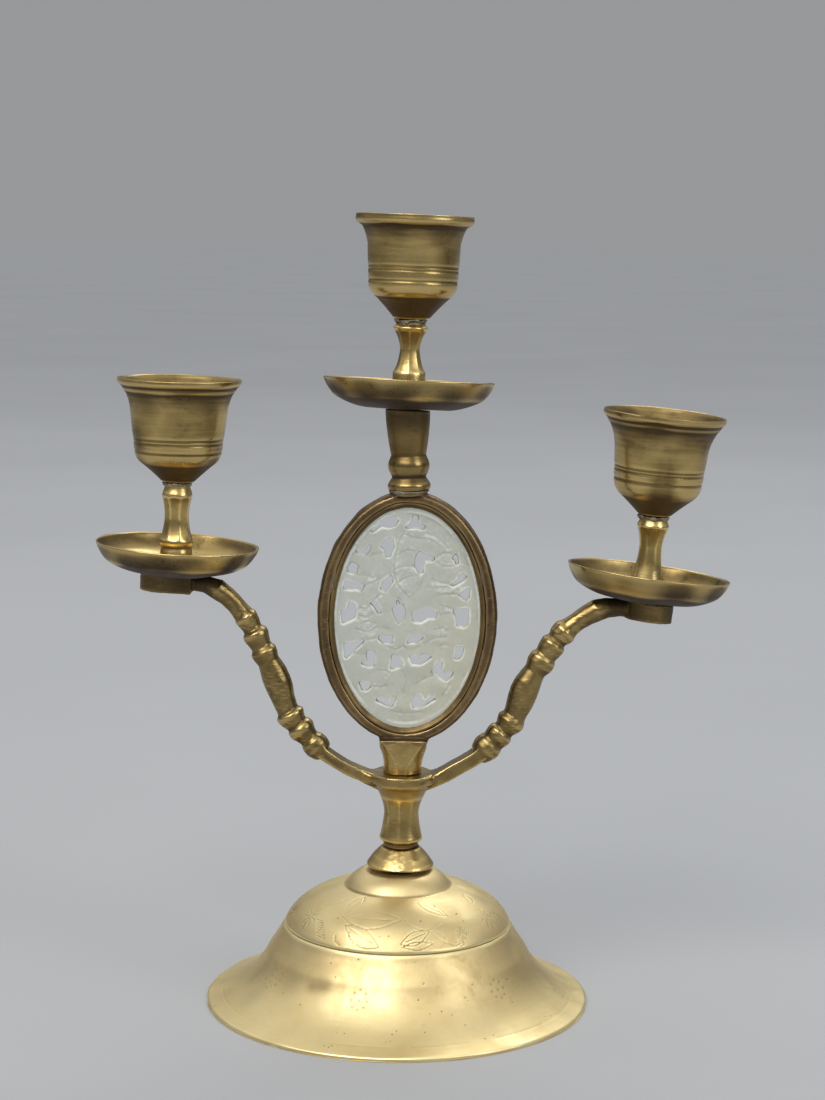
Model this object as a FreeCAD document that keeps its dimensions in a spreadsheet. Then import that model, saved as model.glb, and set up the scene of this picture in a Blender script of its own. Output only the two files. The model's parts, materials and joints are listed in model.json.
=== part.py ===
"""Tabletop candelabra: a spun brass foot, a turned column, two cast arms, an oval medallion
of pierced stone and three candle cups, each standing in a loose drip pan.

Lengths are millimetres and angles degrees. The origin is the centre of the foot's rim on the
table, +Z is up and the front of the medallion faces -Y. The column and all it carries lean a
little from the vertical, so they are drawn upright about the column's own axis, with heights
counted from the table, and are then placed with leaning().
"""
import FreeCAD
import Part
import Sketcher
import math
import os

SIZES = {
    # the leaning axis of the column
    "pivot_x": 0.7, "pivot_height": 43.5, "column_lean": 0.75,
    # foot
    "dome_wall": 1.1, "dome_lip_width": 2.4, "dome_hole_radius": 3.1,
    "engraving_radius": 0.35,
    # fasteners on the column's axis
    "stud_radius": 3.0, "stud_bore_radius": 3.05, "stud_bottom": 34.0, "stud_top": 82.0,
    "neck_bore_top": 83.0, "washer_radius": 8.5, "washer_bottom": 40.6, "washer_top": 42.2,
    "nut_radius": 5.77, "nut_bottom": 35.6,
    # crosspiece
    "hub_radius": 11.0, "hub_bottom": 72.6, "hub_top": 75.9, "hub_flat": 10.0, "fit_gap": 0.05,
    # saddle under the medallion
    "saddle_half_width": 7.7, "saddle_half_depth": 6.0,
    # medallion, heights and offsets of its centre, half axes of its ovals
    "medallion_x": 0.4, "medallion_height": 127.0,
    "frame_half_width": 29.1, "frame_half_height": 41.1, "frame_depth": 7.2,
    "frame_bevel": 1.1, "frame_bevel_depth": 1.5,
    "window_half_width": 25.3, "window_half_height": 37.9,
    "bezel_front": 2.9, "bezel_back": 1.7, "bezel_bevel": 0.7,
    "bezel_half_width": 23.4, "bezel_half_height": 35.8,
    "plaque_half_width": 25.1, "plaque_half_height": 37.7, "plaque_depth": 3.0,
    "ring_depth": 1.2, "ring_half_width": 23.2, "ring_half_height": 35.8,
    "pad_radius": 5.9, "pad_height": 1.8, "neck_solder_height": 1.0,
    # foot of the upper neck on top of the medallion
    "upper_neck_x": 0.1, "upper_neck_height": 168.7, "upper_neck_lean": -2.5,
    # arms
    "left_bar_height": 3.8, "left_bar_depth": 7.4, "left_bar_length": 19.4,
    "right_bar_height": 4.4, "right_bar_depth": 7.8, "right_bar_length": 18.4,
    "lug_length": 17.0, "lug_depth": 13.0, "lug_height": 5.8, "lug_end": 11.3,
    "boss_radius": 7.6, "boss_height": 6.2, "boss_shift": 2.0, "seat_gap": 0.3,
    # cup studs, and the pans' holes
    "pin_radius": 2.5, "pin_bore_radius": 2.55, "pin_top": 9.0, "pin_bottom": 5.6,
    "pin_bore_top": 9.6, "pin_bore_bottom": 6.0,
    "pan_hole_radius": 3.4, "pan_wall": 1.1,
    # candle sockets
    "socket_radius": 11.5, "socket_floor": 8.6, "socket_mouth": 24.5, "cup_lip": 0.9,
    "cup_line_radius": 0.3, "solder_height": 1.2,
}

# The seat of each pan on the leaning axis' frame, the roll and the backward tilt of the pan and
# of the cup above it, and the height of the cup's foot above the seat.
SEATS = {
    "left": {"x": -74.7, "height": 140.0, "pan_roll": 2.6, "pan_back": 0.0,
             "cup_roll": 0.6, "cup_back": 0.0, "cup_rise": 29.3},
    "middle": {"x": -1.1, "height": 194.5, "pan_roll": 1.4, "pan_back": 3.3,
               "cup_roll": 1.0, "cup_back": 0.5, "cup_rise": 28.6},
    "right": {"x": 77.0, "height": 134.6, "pan_roll": 6.2, "pan_back": 2.2,
              "cup_roll": 4.0, "cup_back": -1.0, "cup_rise": 27.7},
}

# Turned outlines from the bottom up: a word, the radius, the height, and for an arc the height
# of its crown over the chord that comes from the station before, outwards if positive.
OUTLINES = {
    "dome": [
        ("rim", 62.6, 0.0), ("lip", 62.6, 1.3), ("flange", 54.5, 4.6, -0.3),
        ("flare", 42.6, 17.2, -1.5), ("line", 37.2, 25.8, -0.15), ("crown", 29.6, 34.0, 0.95),
        ("step", 17.3, 38.4, 0.7), ("boss", 16.7, 39.3), ("top", 11.2, 43.5, 0.6),
    ],
    "cone": [
        ("shoulder", 7.5, 43.75), ("seat", 7.5, 44.8), ("edge", 11.2, 44.8), ("lip", 11.1, 45.5),
        ("side", 9.1, 48.3), ("top", 6.3, 51.2),
    ],
    "column": [
        ("tenon", 5.7, 51.2), ("recess", 5.7, 52.6), ("ring", 7.15, 53.8), ("edge", 7.1, 54.2),
        ("waist", 5.7, 62.2, -0.2), ("flare", 7.2, 67.8, -0.35), ("top", 10.4, 72.6, -0.5),
    ],
    "saddle": [
        ("foot", 6.2, 75.9), ("shoulder", 6.2, 77.5), ("top", 9.8, 87.3, -0.9),
    ],
    "neck": [
        ("foot", 6.6, 0.0), ("ring", 6.9, 1.9, 0.2), ("groove", 5.4, 4.2), ("rise", 6.0, 5.2),
        ("bead", 6.3, 9.6, 0.55), ("notch", 5.6, 11.2), ("edge", 5.85, 12.2), ("top", 7.25, 24.5, 0.2),
    ],
    "pan_left": [
        ("floor", 13.0, 0.0), ("curve", 22.9, 3.4, 0.5), ("rim", 26.5, 9.6, 0.45),
    ],
    "pan_middle": [
        ("floor", 13.5, 0.0), ("curve", 23.8, 3.4, 0.6), ("rim", 27.6, 9.6, 0.45),
    ],
    "pan_right": [
        ("floor", 13.0, 0.0), ("curve", 22.9, 3.3, 0.6), ("rim", 26.5, 9.6, 0.45),
    ],
    "stem_left": [
        ("foot", 6.5, 1.5), ("cove", 5.2, 7.0, -0.2), ("neck", 4.8, 8.5), ("ring", 5.6, 9.8),
        ("edge", 5.6, 10.8), ("waist", 4.05, 17.6, -0.3), ("collar", 5.1, 24.8, -0.3),
        ("lip", 4.9, 25.8), ("joint", 4.2, 27.6), ("top", 4.2, 29.3),
    ],
    "stem_middle": [
        ("foot", 6.3, 1.7), ("ring", 5.4, 9.4), ("edge", 5.3, 11.8), ("shoulder", 3.85, 15.2, -0.2),
        ("waist", 3.2, 19.2, -0.1), ("cove", 4.6, 24.0, -0.2), ("collar", 5.8, 26.0),
        ("joint", 4.5, 27.2), ("top", 4.5, 28.6),
    ],
    "stem_right": [
        ("foot", 6.1, 1.8), ("ring", 5.3, 7.6), ("waist", 3.75, 17.6, -0.35),
        ("collar", 5.4, 24.4, -0.25), ("joint", 4.4, 26.3), ("top", 4.4, 27.7),
    ],
    "cup_left": [
        ("foot", 5.0, 0.0), ("bowl", 11.5, 5.7, -0.1), ("belly", 14.2, 9.8, 0.55),
        ("side", 15.5, 22.5), ("flare", 17.4, 29.0, -0.35), ("band", 18.0, 29.3),
        ("rim", 20.2, 33.5, -0.25),
    ],
    "cup_middle": [
        ("foot", 5.5, 0.0), ("bowl", 11.9, 6.8, -0.1), ("belly", 14.3, 10.6, 0.5),
        ("side", 14.8, 23.6), ("flare", 16.9, 29.5, -0.3), ("band", 17.5, 29.8),
        ("rim", 19.2, 33.1, -0.1),
    ],
    "cup_right": [
        ("foot", 5.2, 0.0), ("bowl", 11.4, 5.7, -0.1), ("belly", 14.25, 10.3, 0.55),
        ("side", 15.2, 22.5), ("flare", 17.5, 29.0, -0.35), ("band", 18.1, 29.3),
        ("rim", 20.05, 33.3, -0.25),
    ],
}
CUP_LINES = {"cup_left": (9.9, 13.0, 14.1), "cup_middle": (12.2, 15.6, 16.6),
             "cup_right": (11.4, 14.4, 15.4)}

# Centre line of each arm, from the hub to the seat, and the turned stations along it: distance
# from the hub and radius.
ARM_PATHS = {
    "arm_left": [(-10.0, 73.8), (-15.0, 75.6), (-20.0, 78.1), (-24.5, 80.9), (-28.9, 84.6),
                 (-33.2, 89.3), (-37.2, 94.5), (-39.8, 101.0), (-42.2, 107.3), (-45.2, 113.4),
                 (-48.6, 120.2), (-51.8, 125.7), (-55.0, 129.6), (-58.2, 132.8), (-61.6, 135.1),
                 (-66.0, 136.5), (-71.0, 136.9)],
    "arm_right": [(10.0, 73.8), (15.0, 76.3), (20.0, 79.2), (24.5, 82.2), (28.3, 85.9),
                  (31.9, 89.9), (35.3, 94.2), (37.7, 100.1), (40.0, 106.4), (42.6, 111.0),
                  (46.7, 117.6), (51.3, 123.6), (55.3, 126.9), (58.6, 129.2), (62.0, 131.0),
                  (66.0, 131.9), (70.0, 131.9), (75.0, 131.3)],
}
ARM_STATIONS = {
    "arm_left": [
        (17.6, 3.2), (18.6, 3.8), (20.8, 4.4), (23.1, 4.2), (24.4, 3.3), (26.2, 3.8), (28.1, 4.6),
        (29.6, 4.4), (30.6, 3.5), (32.0, 4.1), (33.8, 4.75), (34.9, 4.8), (36.0, 3.6),
        (40.0, 3.85), (43.5, 4.4), (46.4, 4.55), (49.5, 4.4), (52.2, 3.9), (53.4, 3.65),
        (55.2, 4.15), (57.2, 4.45), (58.8, 3.3), (60.8, 3.8), (62.6, 4.3), (63.9, 4.25),
        (65.2, 3.1), (67.3, 3.5), (69.7, 3.95), (70.9, 3.3), (74.5, 3.0), (78.5, 3.1),
        (82.5, 3.5), (86.7, 2.8), (91.8, 2.5),
    ],
    "arm_right": [
        (16.4, 3.2), (17.6, 3.9), (20.0, 4.7), (22.3, 4.5), (23.6, 3.8), (25.8, 4.4), (27.5, 4.4),
        (28.6, 3.35), (30.6, 4.3), (32.3, 4.8), (33.4, 4.4), (34.6, 3.8), (39.4, 4.5),
        (42.9, 4.7), (46.3, 4.5), (49.3, 3.95), (50.8, 3.65), (53.4, 4.55), (55.7, 4.45),
        (57.0, 3.6), (59.0, 4.1), (61.6, 4.3), (63.1, 3.15), (64.8, 4.0), (67.1, 4.25),
        (68.7, 3.4), (72.0, 3.1), (75.6, 3.35), (79.4, 3.7), (82.7, 3.4), (87.4, 2.9),
        (91.9, 2.6),
    ],
}

# Openings cut through the stone, as corners about its centre.
PIERCINGS = [
    [(-12.5, 28.2), (-10.5, 29.8), (-9.2, 31.3), (-7.5, 32.7), (-5.2, 32.5), (-3.4, 31.8),
     (-4.5, 30), (-6.5, 29.2), (-9, 29.7), (-11, 28.2), (-11.8, 27.6)],
    [(-1.8, 29.1), (0.5, 31), (1.4, 33.6), (2.8, 33), (2.5, 31), (5.1, 30), (4.7, 28.9),
     (2.8, 29.4)],
    [(-6.3, 26.3), (-5.2, 25.9), (-4.7, 23.2), (-5.4, 21.5), (-5.7, 19.8), (-7.4, 19.6),
     (-7.8, 21.9), (-9.2, 23.1), (-8.3, 24.9)],
    [(-17.1, 21.2), (-16.2, 22.8), (-15.1, 21.9), (-13.8, 21.7), (-13.3, 23.3), (-12.4, 23.5),
     (-12.3, 22), (-13.8, 20.3), (-15.4, 20.6)],
    [(-19.6, 14.6), (-19.3, 16.2), (-18.4, 17.8), (-15.9, 16.5), (-16.8, 15.3), (-16.5, 13.9)],
    [(-20.9, 9), (-20.4, 12), (-17.7, 11.1), (-14, 10.4), (-15, 8.3), (-16.8, 8.9)],
    [(-9, 9.3), (-8, 11.8), (-5.5, 13.9), (-4.9, 11.8), (-7.3, 8.4)],
    [(3.3, 22), (5, 21), (8.5, 19.7), (7.9, 18.9), (5.3, 18.6), (4.5, 17.1), (5.1, 14.9),
     (3.3, 14.6), (2.1, 17), (2.4, 20)],
    [(15.3, 21.7), (15.6, 20.3), (16.1, 18.6), (15, 17.4), (15.1, 19), (14, 19.8), (14.8, 20.6)],
    [(13.3, 11.2), (16, 12.7), (16.8, 14.6), (17.6, 15), (18.8, 13.9), (17.6, 12.5),
     (14.8, 10.8)],
    [(16.4, 7.9), (19.2, 10.3), (20, 10.2), (19.9, 7.3), (18.8, 6.1)],
    [(-12.1, 4.7), (-10.2, 5.2), (-9.1, 3.4), (-8.4, 1.6), (-9.3, 1), (-10.8, 3.4)],
    [(-5, 3.1), (-3.7, 3.7), (-3.4, 4.5), (-3.6, 5.9), (-2.8, 6.7), (-2.3, 6.1), (-3, 5.9),
     (-2.8, 4.2), (-1.6, 4.3), (-0.6, 2.2), (-1.1, 0.2), (-2.8, -2.2), (-4.3, 0.8)],
    [(1.4, 1.6), (3.4, 2.4), (6.2, 4), (9.6, 1.9), (9.4, 0.3), (6.5, 0), (4.2, -1.4),
     (1.8, -1.1)],
    [(14.8, 3), (19.7, 3.7), (19.9, 0.3), (19.5, -2), (18.3, -2.6), (16, -2.3), (15.8, 0.4)],
    [(-21.5, 2), (-19.4, 2.3), (-18.9, 5.1), (-17.2, 4.3), (-16.6, 2), (-17, -0.4), (-21, -2.4)],
    [(-9.5, -6.5), (-4.6, -5.8), (-4.7, -7.6), (-4.2, -8.4), (-7.8, -8.6)],
    [(0, -8.4), (0.8, -6.2), (3.4, -5.9), (4.8, -5.4), (5.4, -6.4), (3, -8.3)],
    [(-20.3, -8.5), (-17.4, -8.6), (-14.3, -7.3), (-13.7, -8), (-16.9, -11), (-19.4, -13.8),
     (-20, -13.5)],
    [(-12.9, -11.4), (-10.3, -11.1), (-10.1, -16), (-12.4, -16.4), (-14.6, -15.3),
     (-14.1, -14.7), (-12.7, -14.7)],
    [(-4.9, -12.4), (-2.8, -12.6), (-1, -14.6), (-1.3, -16.1), (-3.3, -16.5), (-4.6, -17.1),
     (-5.2, -16.4), (-4.7, -14.6)],
    [(0.9, -12.3), (1.6, -12), (3.1, -12.9), (5, -11.9), (8.3, -12.4), (6.6, -14), (4.7, -15.3),
     (1.8, -15.1)],
    [(16, -9), (18.6, -9.1), (18.1, -11.7), (17.2, -13.2), (15.5, -13.2), (16, -11.2)],
    [(10.5, -13.3), (12, -14.1), (11.3, -16.4), (13, -18.5), (14.8, -17.1), (15.3, -17.5),
     (14.7, -19), (13.1, -20.4), (8.3, -17.6), (9.7, -15.4)],
    [(-15.2, -21.1), (-11, -22.5), (-12.5, -24.1), (-14.1, -24.1)],
    [(-9, -26.3), (-4.8, -27.9), (-4, -26), (-3, -26.3), (-3.9, -29.1), (-4.9, -29.5),
     (-9.6, -27.3)],
    [(3, -25.3), (5, -25.4), (5.4, -27.2), (6.8, -27.6), (8.6, -25.1), (9.8, -26.4),
     (6.7, -28.5), (4.4, -29.7), (2.4, -29.5), (2.1, -27.4)],
]

UP = FreeCAD.Vector(0, 0, 1)
ROLL_AXIS = FreeCAD.Vector(0, 1, 0)
PITCH_AXIS = FreeCAD.Vector(1, 0, 0)
FACING = FreeCAD.Rotation(FreeCAD.Vector(1, 1, 1), -120)

doc = FreeCAD.newDocument("candelabra")
parts = {}


class Size:
    """A length as an expression on the sheet, with its value now."""

    def __init__(self, text, value):
        self.text = text
        self.value = value

    def __add__(self, other):
        return Size(f"({self.text} + {other.text})", self.value + other.value)

    def __sub__(self, other):
        return Size(f"({self.text} - {other.text})", self.value - other.value)

    def __mul__(self, other):
        return Size(f"({self.text} * {other.text})", self.value * other.value)

    def __truediv__(self, other):
        return Size(f"({self.text} / {other.text})", self.value / other.value)


def number(value):
    return Size(str(value), float(value))


ZERO = number(0)


def cell(alias):
    """The sheet's number under an alias."""
    return float(doc.Sizes.get(alias))


def size(alias):
    return Size(f"Sizes.{alias}", cell(alias))


def sheet_cells():
    """Every size, outline station, seat and arm station under an alias of its own."""
    cells = dict(SIZES)
    for name, stations in OUTLINES.items():
        for word, radius, height, *crown in stations:
            cells[f"{name}_{word}_radius"] = radius
            cells[f"{name}_{word}_height"] = height
            for value in crown:
                cells[f"{name}_{word}_crown"] = value
    for side, seat in SEATS.items():
        for word, value in seat.items():
            cells[f"{side}_{word}"] = value
    for name, heights in CUP_LINES.items():
        for index, height in enumerate(heights):
            cells[f"{name}_line_{index}"] = height
    for name, stations in ARM_STATIONS.items():
        for index, (along, radius) in enumerate(stations):
            cells[f"{name}_along_{index}"] = along
            cells[f"{name}_radius_{index}"] = radius
    for name, points in ARM_PATHS.items():
        for index, (across, height) in enumerate(points):
            cells[f"{name}_across_{index}"] = across
            cells[f"{name}_height_{index}"] = height
    return cells


def fill_sheet():
    sheet = doc.addObject("Spreadsheet::Sheet", "Sizes")
    for row, (alias, value) in enumerate(sheet_cells().items(), start=1):
        sheet.set(f"A{row}", alias)
        sheet.set(f"B{row}", str(value))
        sheet.setAlias(f"B{row}", alias)
    doc.recompute()


# placements


def leaning():
    """The column's frame: upright drawing turned about the pivot on top of the foot."""
    pivot = FreeCAD.Vector(cell("pivot_x"), 0, cell("pivot_height"))
    turn = FreeCAD.Rotation(ROLL_AXIS, cell("column_lean"))
    foot = FreeCAD.Vector(0, 0, cell("pivot_height"))
    return FreeCAD.Placement(pivot, turn) * FreeCAD.Placement(-foot, FreeCAD.Rotation())


def tilted(x, height, roll, back):
    """A frame standing at x and height on the column's frame, rolled and leaning back."""
    turn = FreeCAD.Rotation(PITCH_AXIS, -back) * FreeCAD.Rotation(ROLL_AXIS, roll)
    return leaning() * FreeCAD.Placement(FreeCAD.Vector(x, 0, height), turn)


def pan_frame(side):
    return tilted(*(cell(f"{side}_{word}") for word in ("x", "height", "pan_roll", "pan_back")))


def cup_frame(side):
    return tilted(*(cell(f"{side}_{word}") for word in ("x", "height", "cup_roll", "cup_back")))


def neck_frame():
    return tilted(cell("upper_neck_x"), cell("upper_neck_height"), cell("upper_neck_lean"), 0)


def shifted(frame, x=0.0, y=0.0, z=0.0):
    return frame * FreeCAD.Placement(FreeCAD.Vector(x, y, z), FreeCAD.Rotation())


# sketches


def outline(name):
    """The corners of a turned outline, from the bottom up, as sheet sizes."""
    corners = []
    for word, _, _, *crown in OUTLINES[name]:
        stem = f"{name}_{word}"
        bulge = size(f"{stem}_crown") if crown else None
        corners.append((size(f"{stem}_radius"), size(f"{stem}_height"), bulge))
    return corners


def bored(corners, bore):
    """A turned outline closed along a bore of that radius through its whole height."""
    top = corners[-1][1]
    bottom = corners[0][1]
    return corners + [(bore, top, None), (bore, bottom, None)]


def arc_radius(start, end, crown):
    """Radius of the arc from one corner to the next with that crown over its chord."""
    run = end[0] - start[0]
    rise = end[1] - start[1]
    sign = number(1 if crown.value > 0 else -1)
    chord_squared = run * run + rise * rise
    return sign * (chord_squared / number(4) + crown * crown) / (number(2) * crown)


def edge_geometry(start, end, bulge):
    if bulge is None:
        return Part.LineSegment(start, end)
    chord = end - start
    side = FreeCAD.Vector(chord.y, -chord.x, 0).normalize()
    return Part.Arc(start, (start + end) * 0.5 + side * bulge.value, end)


def vertex_at(sketch, geometry, point):
    """Sketcher's number for the end of a geometry that lies at a point: 1 or 2."""
    first = sketch.getPoint(geometry, 1)
    return 1 if first.distanceToPoint(point) < 1e-6 else 2


def bind(sketch, constraint, alias, length):
    index = sketch.addConstraint(constraint)
    sketch.renameConstraint(index, alias)
    sketch.setExpression(f"Constraints.{alias}", length.text)


def pin_coordinate(sketch, kind, geometry, vertex, alias, length):
    """Fix a vertex along X or Y, on the axis itself where the length is nothing."""
    axis = -2 if kind == "DistanceX" else -1
    if length.value == 0:
        sketch.addConstraint(Sketcher.Constraint("PointOnObject", geometry, vertex, axis))
        return
    bind(sketch, Sketcher.Constraint(kind, -1, 1, geometry, vertex, length.value), alias, length)


def draw_loop(sketch, corners):
    """A closed outline of lines and arcs with every corner bound to the sheet."""
    points = [FreeCAD.Vector(x.value, y.value, 0) for x, y, _ in corners]
    edges = []
    for index, (_, _, bulge) in enumerate(corners):
        edges.append(sketch.addGeometry(edge_geometry(points[index - 1], points[index], bulge)))
    for index, (x, y, _) in enumerate(corners):
        following = edges[(index + 1) % len(edges)]
        vertex = vertex_at(sketch, edges[index], points[index])
        sketch.addConstraint(Sketcher.Constraint(
            "Coincident", edges[index], vertex, following,
            vertex_at(sketch, following, points[index])))
        pin_coordinate(sketch, "DistanceX", edges[index], vertex, f"across_{index}", x)
        pin_coordinate(sketch, "DistanceY", edges[index], vertex, f"up_{index}", y)
    for index, (_, _, bulge) in enumerate(corners):
        if bulge is not None:
            radius = arc_radius(corners[index - 1], corners[index], bulge)
            constraint = Sketcher.Constraint("Radius", edges[index], radius.value)
            bind(sketch, constraint, f"arc_{index}", radius)


def draw_circle(sketch, x, y, radius):
    centre = FreeCAD.Vector(x.value, y.value, 0)
    circle = sketch.addGeometry(Part.Circle(centre, UP, radius.value))
    centre_vertex = 3
    pin_coordinate(sketch, "DistanceX", circle, centre_vertex, f"across_{circle}", x)
    pin_coordinate(sketch, "DistanceY", circle, centre_vertex, f"up_{circle}", y)
    bind(sketch, Sketcher.Constraint("Radius", circle, radius.value), f"radius_{circle}", radius)


# features


def new_body(name, frame):
    body = doc.addObject("PartDesign::Body", f"{name}_body")
    body.Placement = frame
    return body


def new_sketch(body, name, role):
    sketch = body.newObject("Sketcher::SketchObject", name)
    plane = next(item for item in body.Origin.OriginFeatures if item.Role == role)
    sketch.AttachmentSupport = (plane, "")
    sketch.MapMode = "FlatFace"
    return sketch


def turned(name, frame, corners):
    """A body turned from a closed outline about its own upright axis."""
    body = new_body(name, frame)
    sketch = new_sketch(body, f"{name}_outline", "XZ_Plane")
    draw_loop(sketch, corners)
    revolution = body.newObject("PartDesign::Revolution", f"{name}_turning")
    revolution.Profile = sketch
    revolution.ReferenceAxis = (sketch, ["V_Axis"])
    revolution.Angle = 360
    sketch.Visibility = False
    return body


def turned_lines(body, name, centres, radius):
    """Fine lines cut into a turned surface with a round-nosed tool."""
    sketch = new_sketch(body, f"{name}_lines", "XZ_Plane")
    for across, up in centres:
        draw_circle(sketch, across, up, radius)
    groove = body.newObject("PartDesign::Groove", f"{name}_line_cut")
    groove.Profile = sketch
    groove.ReferenceAxis = (sketch, ["V_Axis"])
    groove.Angle = 360
    return groove


def cylinder(name, frame, radius, bottom, top):
    shape = doc.addObject("Part::Cylinder", name)
    shape.setExpression("Radius", radius.text)
    shape.setExpression("Height", (top - bottom).text)
    shape.Placement = shifted(frame, z=bottom.value)
    return shape


def joined(name, shapes):
    fuse = doc.addObject("Part::MultiFuse", name)
    fuse.Shapes = shapes
    return fuse


def cut_from(name, base, tool):
    cut = doc.addObject("Part::Cut", name)
    cut.Base = base
    cut.Tool = tool
    return cut


def lofted(name, sections):
    loft = doc.addObject("Part::Loft", name)
    loft.Sections = sections
    loft.Solid = True
    loft.Ruled = True
    return loft


def oval(name, half_width, half_height, y):
    """An oval of the medallion, at a depth y behind its middle plane."""
    ring = doc.addObject("Part::Ellipse", name)
    ring.setExpression("MajorRadius", half_height.text)
    ring.setExpression("MinorRadius", half_width.text)
    centre = FreeCAD.Vector(cell("medallion_x"), y.value, cell("medallion_height"))
    ring.Placement = leaning() * FreeCAD.Placement(centre, FACING)
    return ring


def oval_solid(name, sections):
    """A solid through ovals given as half width, half height and depth, front to back."""
    return lofted(name, [oval(f"{name}_oval_{index}", *section)
                         for index, section in enumerate(sections)])


def keep(label, shape):
    shape.Label = label
    parts[label] = shape


# the foot and the column


def make_dome():
    wall = size("dome_wall")
    outer = outline("dome")
    top = outer[-1][1]
    hole = [(ZERO, top, None), (ZERO, top - wall, None)]
    inner = []
    bulge = None
    for radius, height, crown in reversed(outer[2:]):
        inner.append((radius - wall, height - wall, bulge))
        bulge = ZERO - crown if crown else None
    rim_inside = (size("dome_rim_radius") - size("dome_lip_width"), ZERO, None)
    body = turned("dome", FreeCAD.Placement(), outer + hole + inner + [rim_inside])
    line = (size("dome_line_radius"), size("dome_line_height"))
    turned_lines(body, "dome", [line], size("engraving_radius"))
    hole_tool = cylinder("dome_hole", leaning(), size("dome_hole_radius"),
                         size("washer_bottom"), size("hub_bottom"))
    keep("base_dome", cut_from("dome_drilled", body, hole_tool))


def make_fasteners():
    frame = leaning()
    bore = size("stud_bore_radius")
    stud = cylinder("tie_stud_rod", frame, size("stud_radius"), size("stud_bottom"),
                    size("stud_top"))
    keep("tie_stud", stud)
    washer = [(size("washer_radius"), size("washer_bottom"), None),
              (size("washer_radius"), size("washer_top"), None)]
    keep("base_washer", turned("washer", frame, bored(washer, bore)))
    prism = doc.addObject("Part::Prism", "nut_blank")
    prism.Polygon = 6
    prism.setExpression("Circumradius", "Sizes.nut_radius")
    prism.setExpression("Height", "Sizes.washer_bottom - Sizes.nut_bottom")
    prism.Placement = shifted(frame, z=cell("nut_bottom"))
    tool = cylinder("nut_hole", frame, bore, size("stud_bottom"), size("washer_top"))
    keep("base_nut", cut_from("nut_tapped", prism, tool))


def make_column():
    bore = size("stud_bore_radius")
    keep("foot_cone", turned("cone", leaning(), bored(outline("cone"), bore)))
    keep("column", turned("column", leaning(), bored(outline("column"), bore)))


def centred_box(name, frame, half_width, half_depth, bottom, top):
    box = doc.addObject("Part::Box", name)
    box.setExpression("Length", f"2 * {half_width.text}")
    box.setExpression("Width", f"2 * {half_depth.text}")
    box.setExpression("Height", (top - bottom).text)
    box.Placement = shifted(frame, -half_width.value, -half_depth.value, bottom.value)
    return box


def common_of(name, first, second):
    common = doc.addObject("Part::MultiCommon", name)
    common.Shapes = [first, second]
    return common


def hub_blank(name):
    """The hub before it is bored: a disc with a flat on each side for an arm."""
    frame = leaning()
    bottom = size("hub_bottom")
    top = size("hub_top")
    disc = cylinder(f"{name}_disc", frame, size("hub_radius"), bottom, top)
    slab = centred_box(f"{name}_slab", frame, size("hub_flat"), size("hub_radius"), bottom, top)
    return common_of(f"{name}_blank", disc, slab)


def make_hub():
    tool = cylinder("hub_hole", leaning(), size("stud_bore_radius"), size("hub_bottom"),
                    size("hub_top"))
    keep("arm_hub", cut_from("hub_bored", hub_blank("hub"), tool))


def make_saddle():
    """The block under the medallion: turned, squared off at its top and slotted for the frame."""
    frame = leaning()
    corners = outline("saddle")
    top = corners[-1][1]
    bottom = corners[0][1]
    axis = [(ZERO, top, None), (ZERO, size("neck_bore_top"), None),
            (size("stud_bore_radius"), size("neck_bore_top"), None),
            (size("stud_bore_radius"), bottom, None)]
    blank = turned("saddle", frame, corners + axis)
    block = centred_box("saddle_block", frame, size("saddle_half_width"),
                        size("saddle_half_depth"), bottom, top)
    squared = common_of("saddle_squared", blank, block)
    gap = size("fit_gap")
    half = size("frame_depth") / number(2) + gap
    width = size("frame_half_width") + gap
    height = size("frame_half_height") + gap
    slot = oval_solid("saddle_slot", [(width, height, ZERO - half), (width, height, half)])
    keep("lower_neck", cut_from("saddle_slotted", squared, slot))


# the medallion


def make_frame():
    width = size("frame_half_width")
    height = size("frame_half_height")
    half = size("frame_depth") / number(2)
    bevel = size("frame_bevel")
    band = oval_solid("frame_band", [
        (width - bevel, height - bevel, ZERO - half),
        (width, height, size("frame_bevel_depth") - half),
        (width, height, half)])
    pad = cylinder("frame_pad", neck_frame(), size("pad_radius"), ZERO - size("pad_height"), ZERO)
    window = window_solid("frame_window", ZERO - half, half)
    keep("medallion_frame", cut_from("frame_open", joined("frame_blank", [band, pad]), window))


def window_solid(name, front, back, slack=ZERO):
    """The opening through the frame, less a slack all round."""
    width = size("window_half_width") - slack
    height = size("window_half_height") - slack
    return oval_solid(name, [(width, height, front), (width, height, back)])


def make_bezel():
    front = ZERO - size("bezel_front")
    back = ZERO - size("bezel_back")
    gap = size("fit_gap")
    bevel = size("bezel_bevel")
    opening = oval_solid("bezel_opening", [
        (size("window_half_width") - bevel, size("window_half_height") - bevel, front),
        (size("bezel_half_width"), size("bezel_half_height"), back)])
    blank = window_solid("bezel_blank", front, back, gap)
    keep("front_bezel", cut_from("bezel_open", blank, opening))


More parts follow.
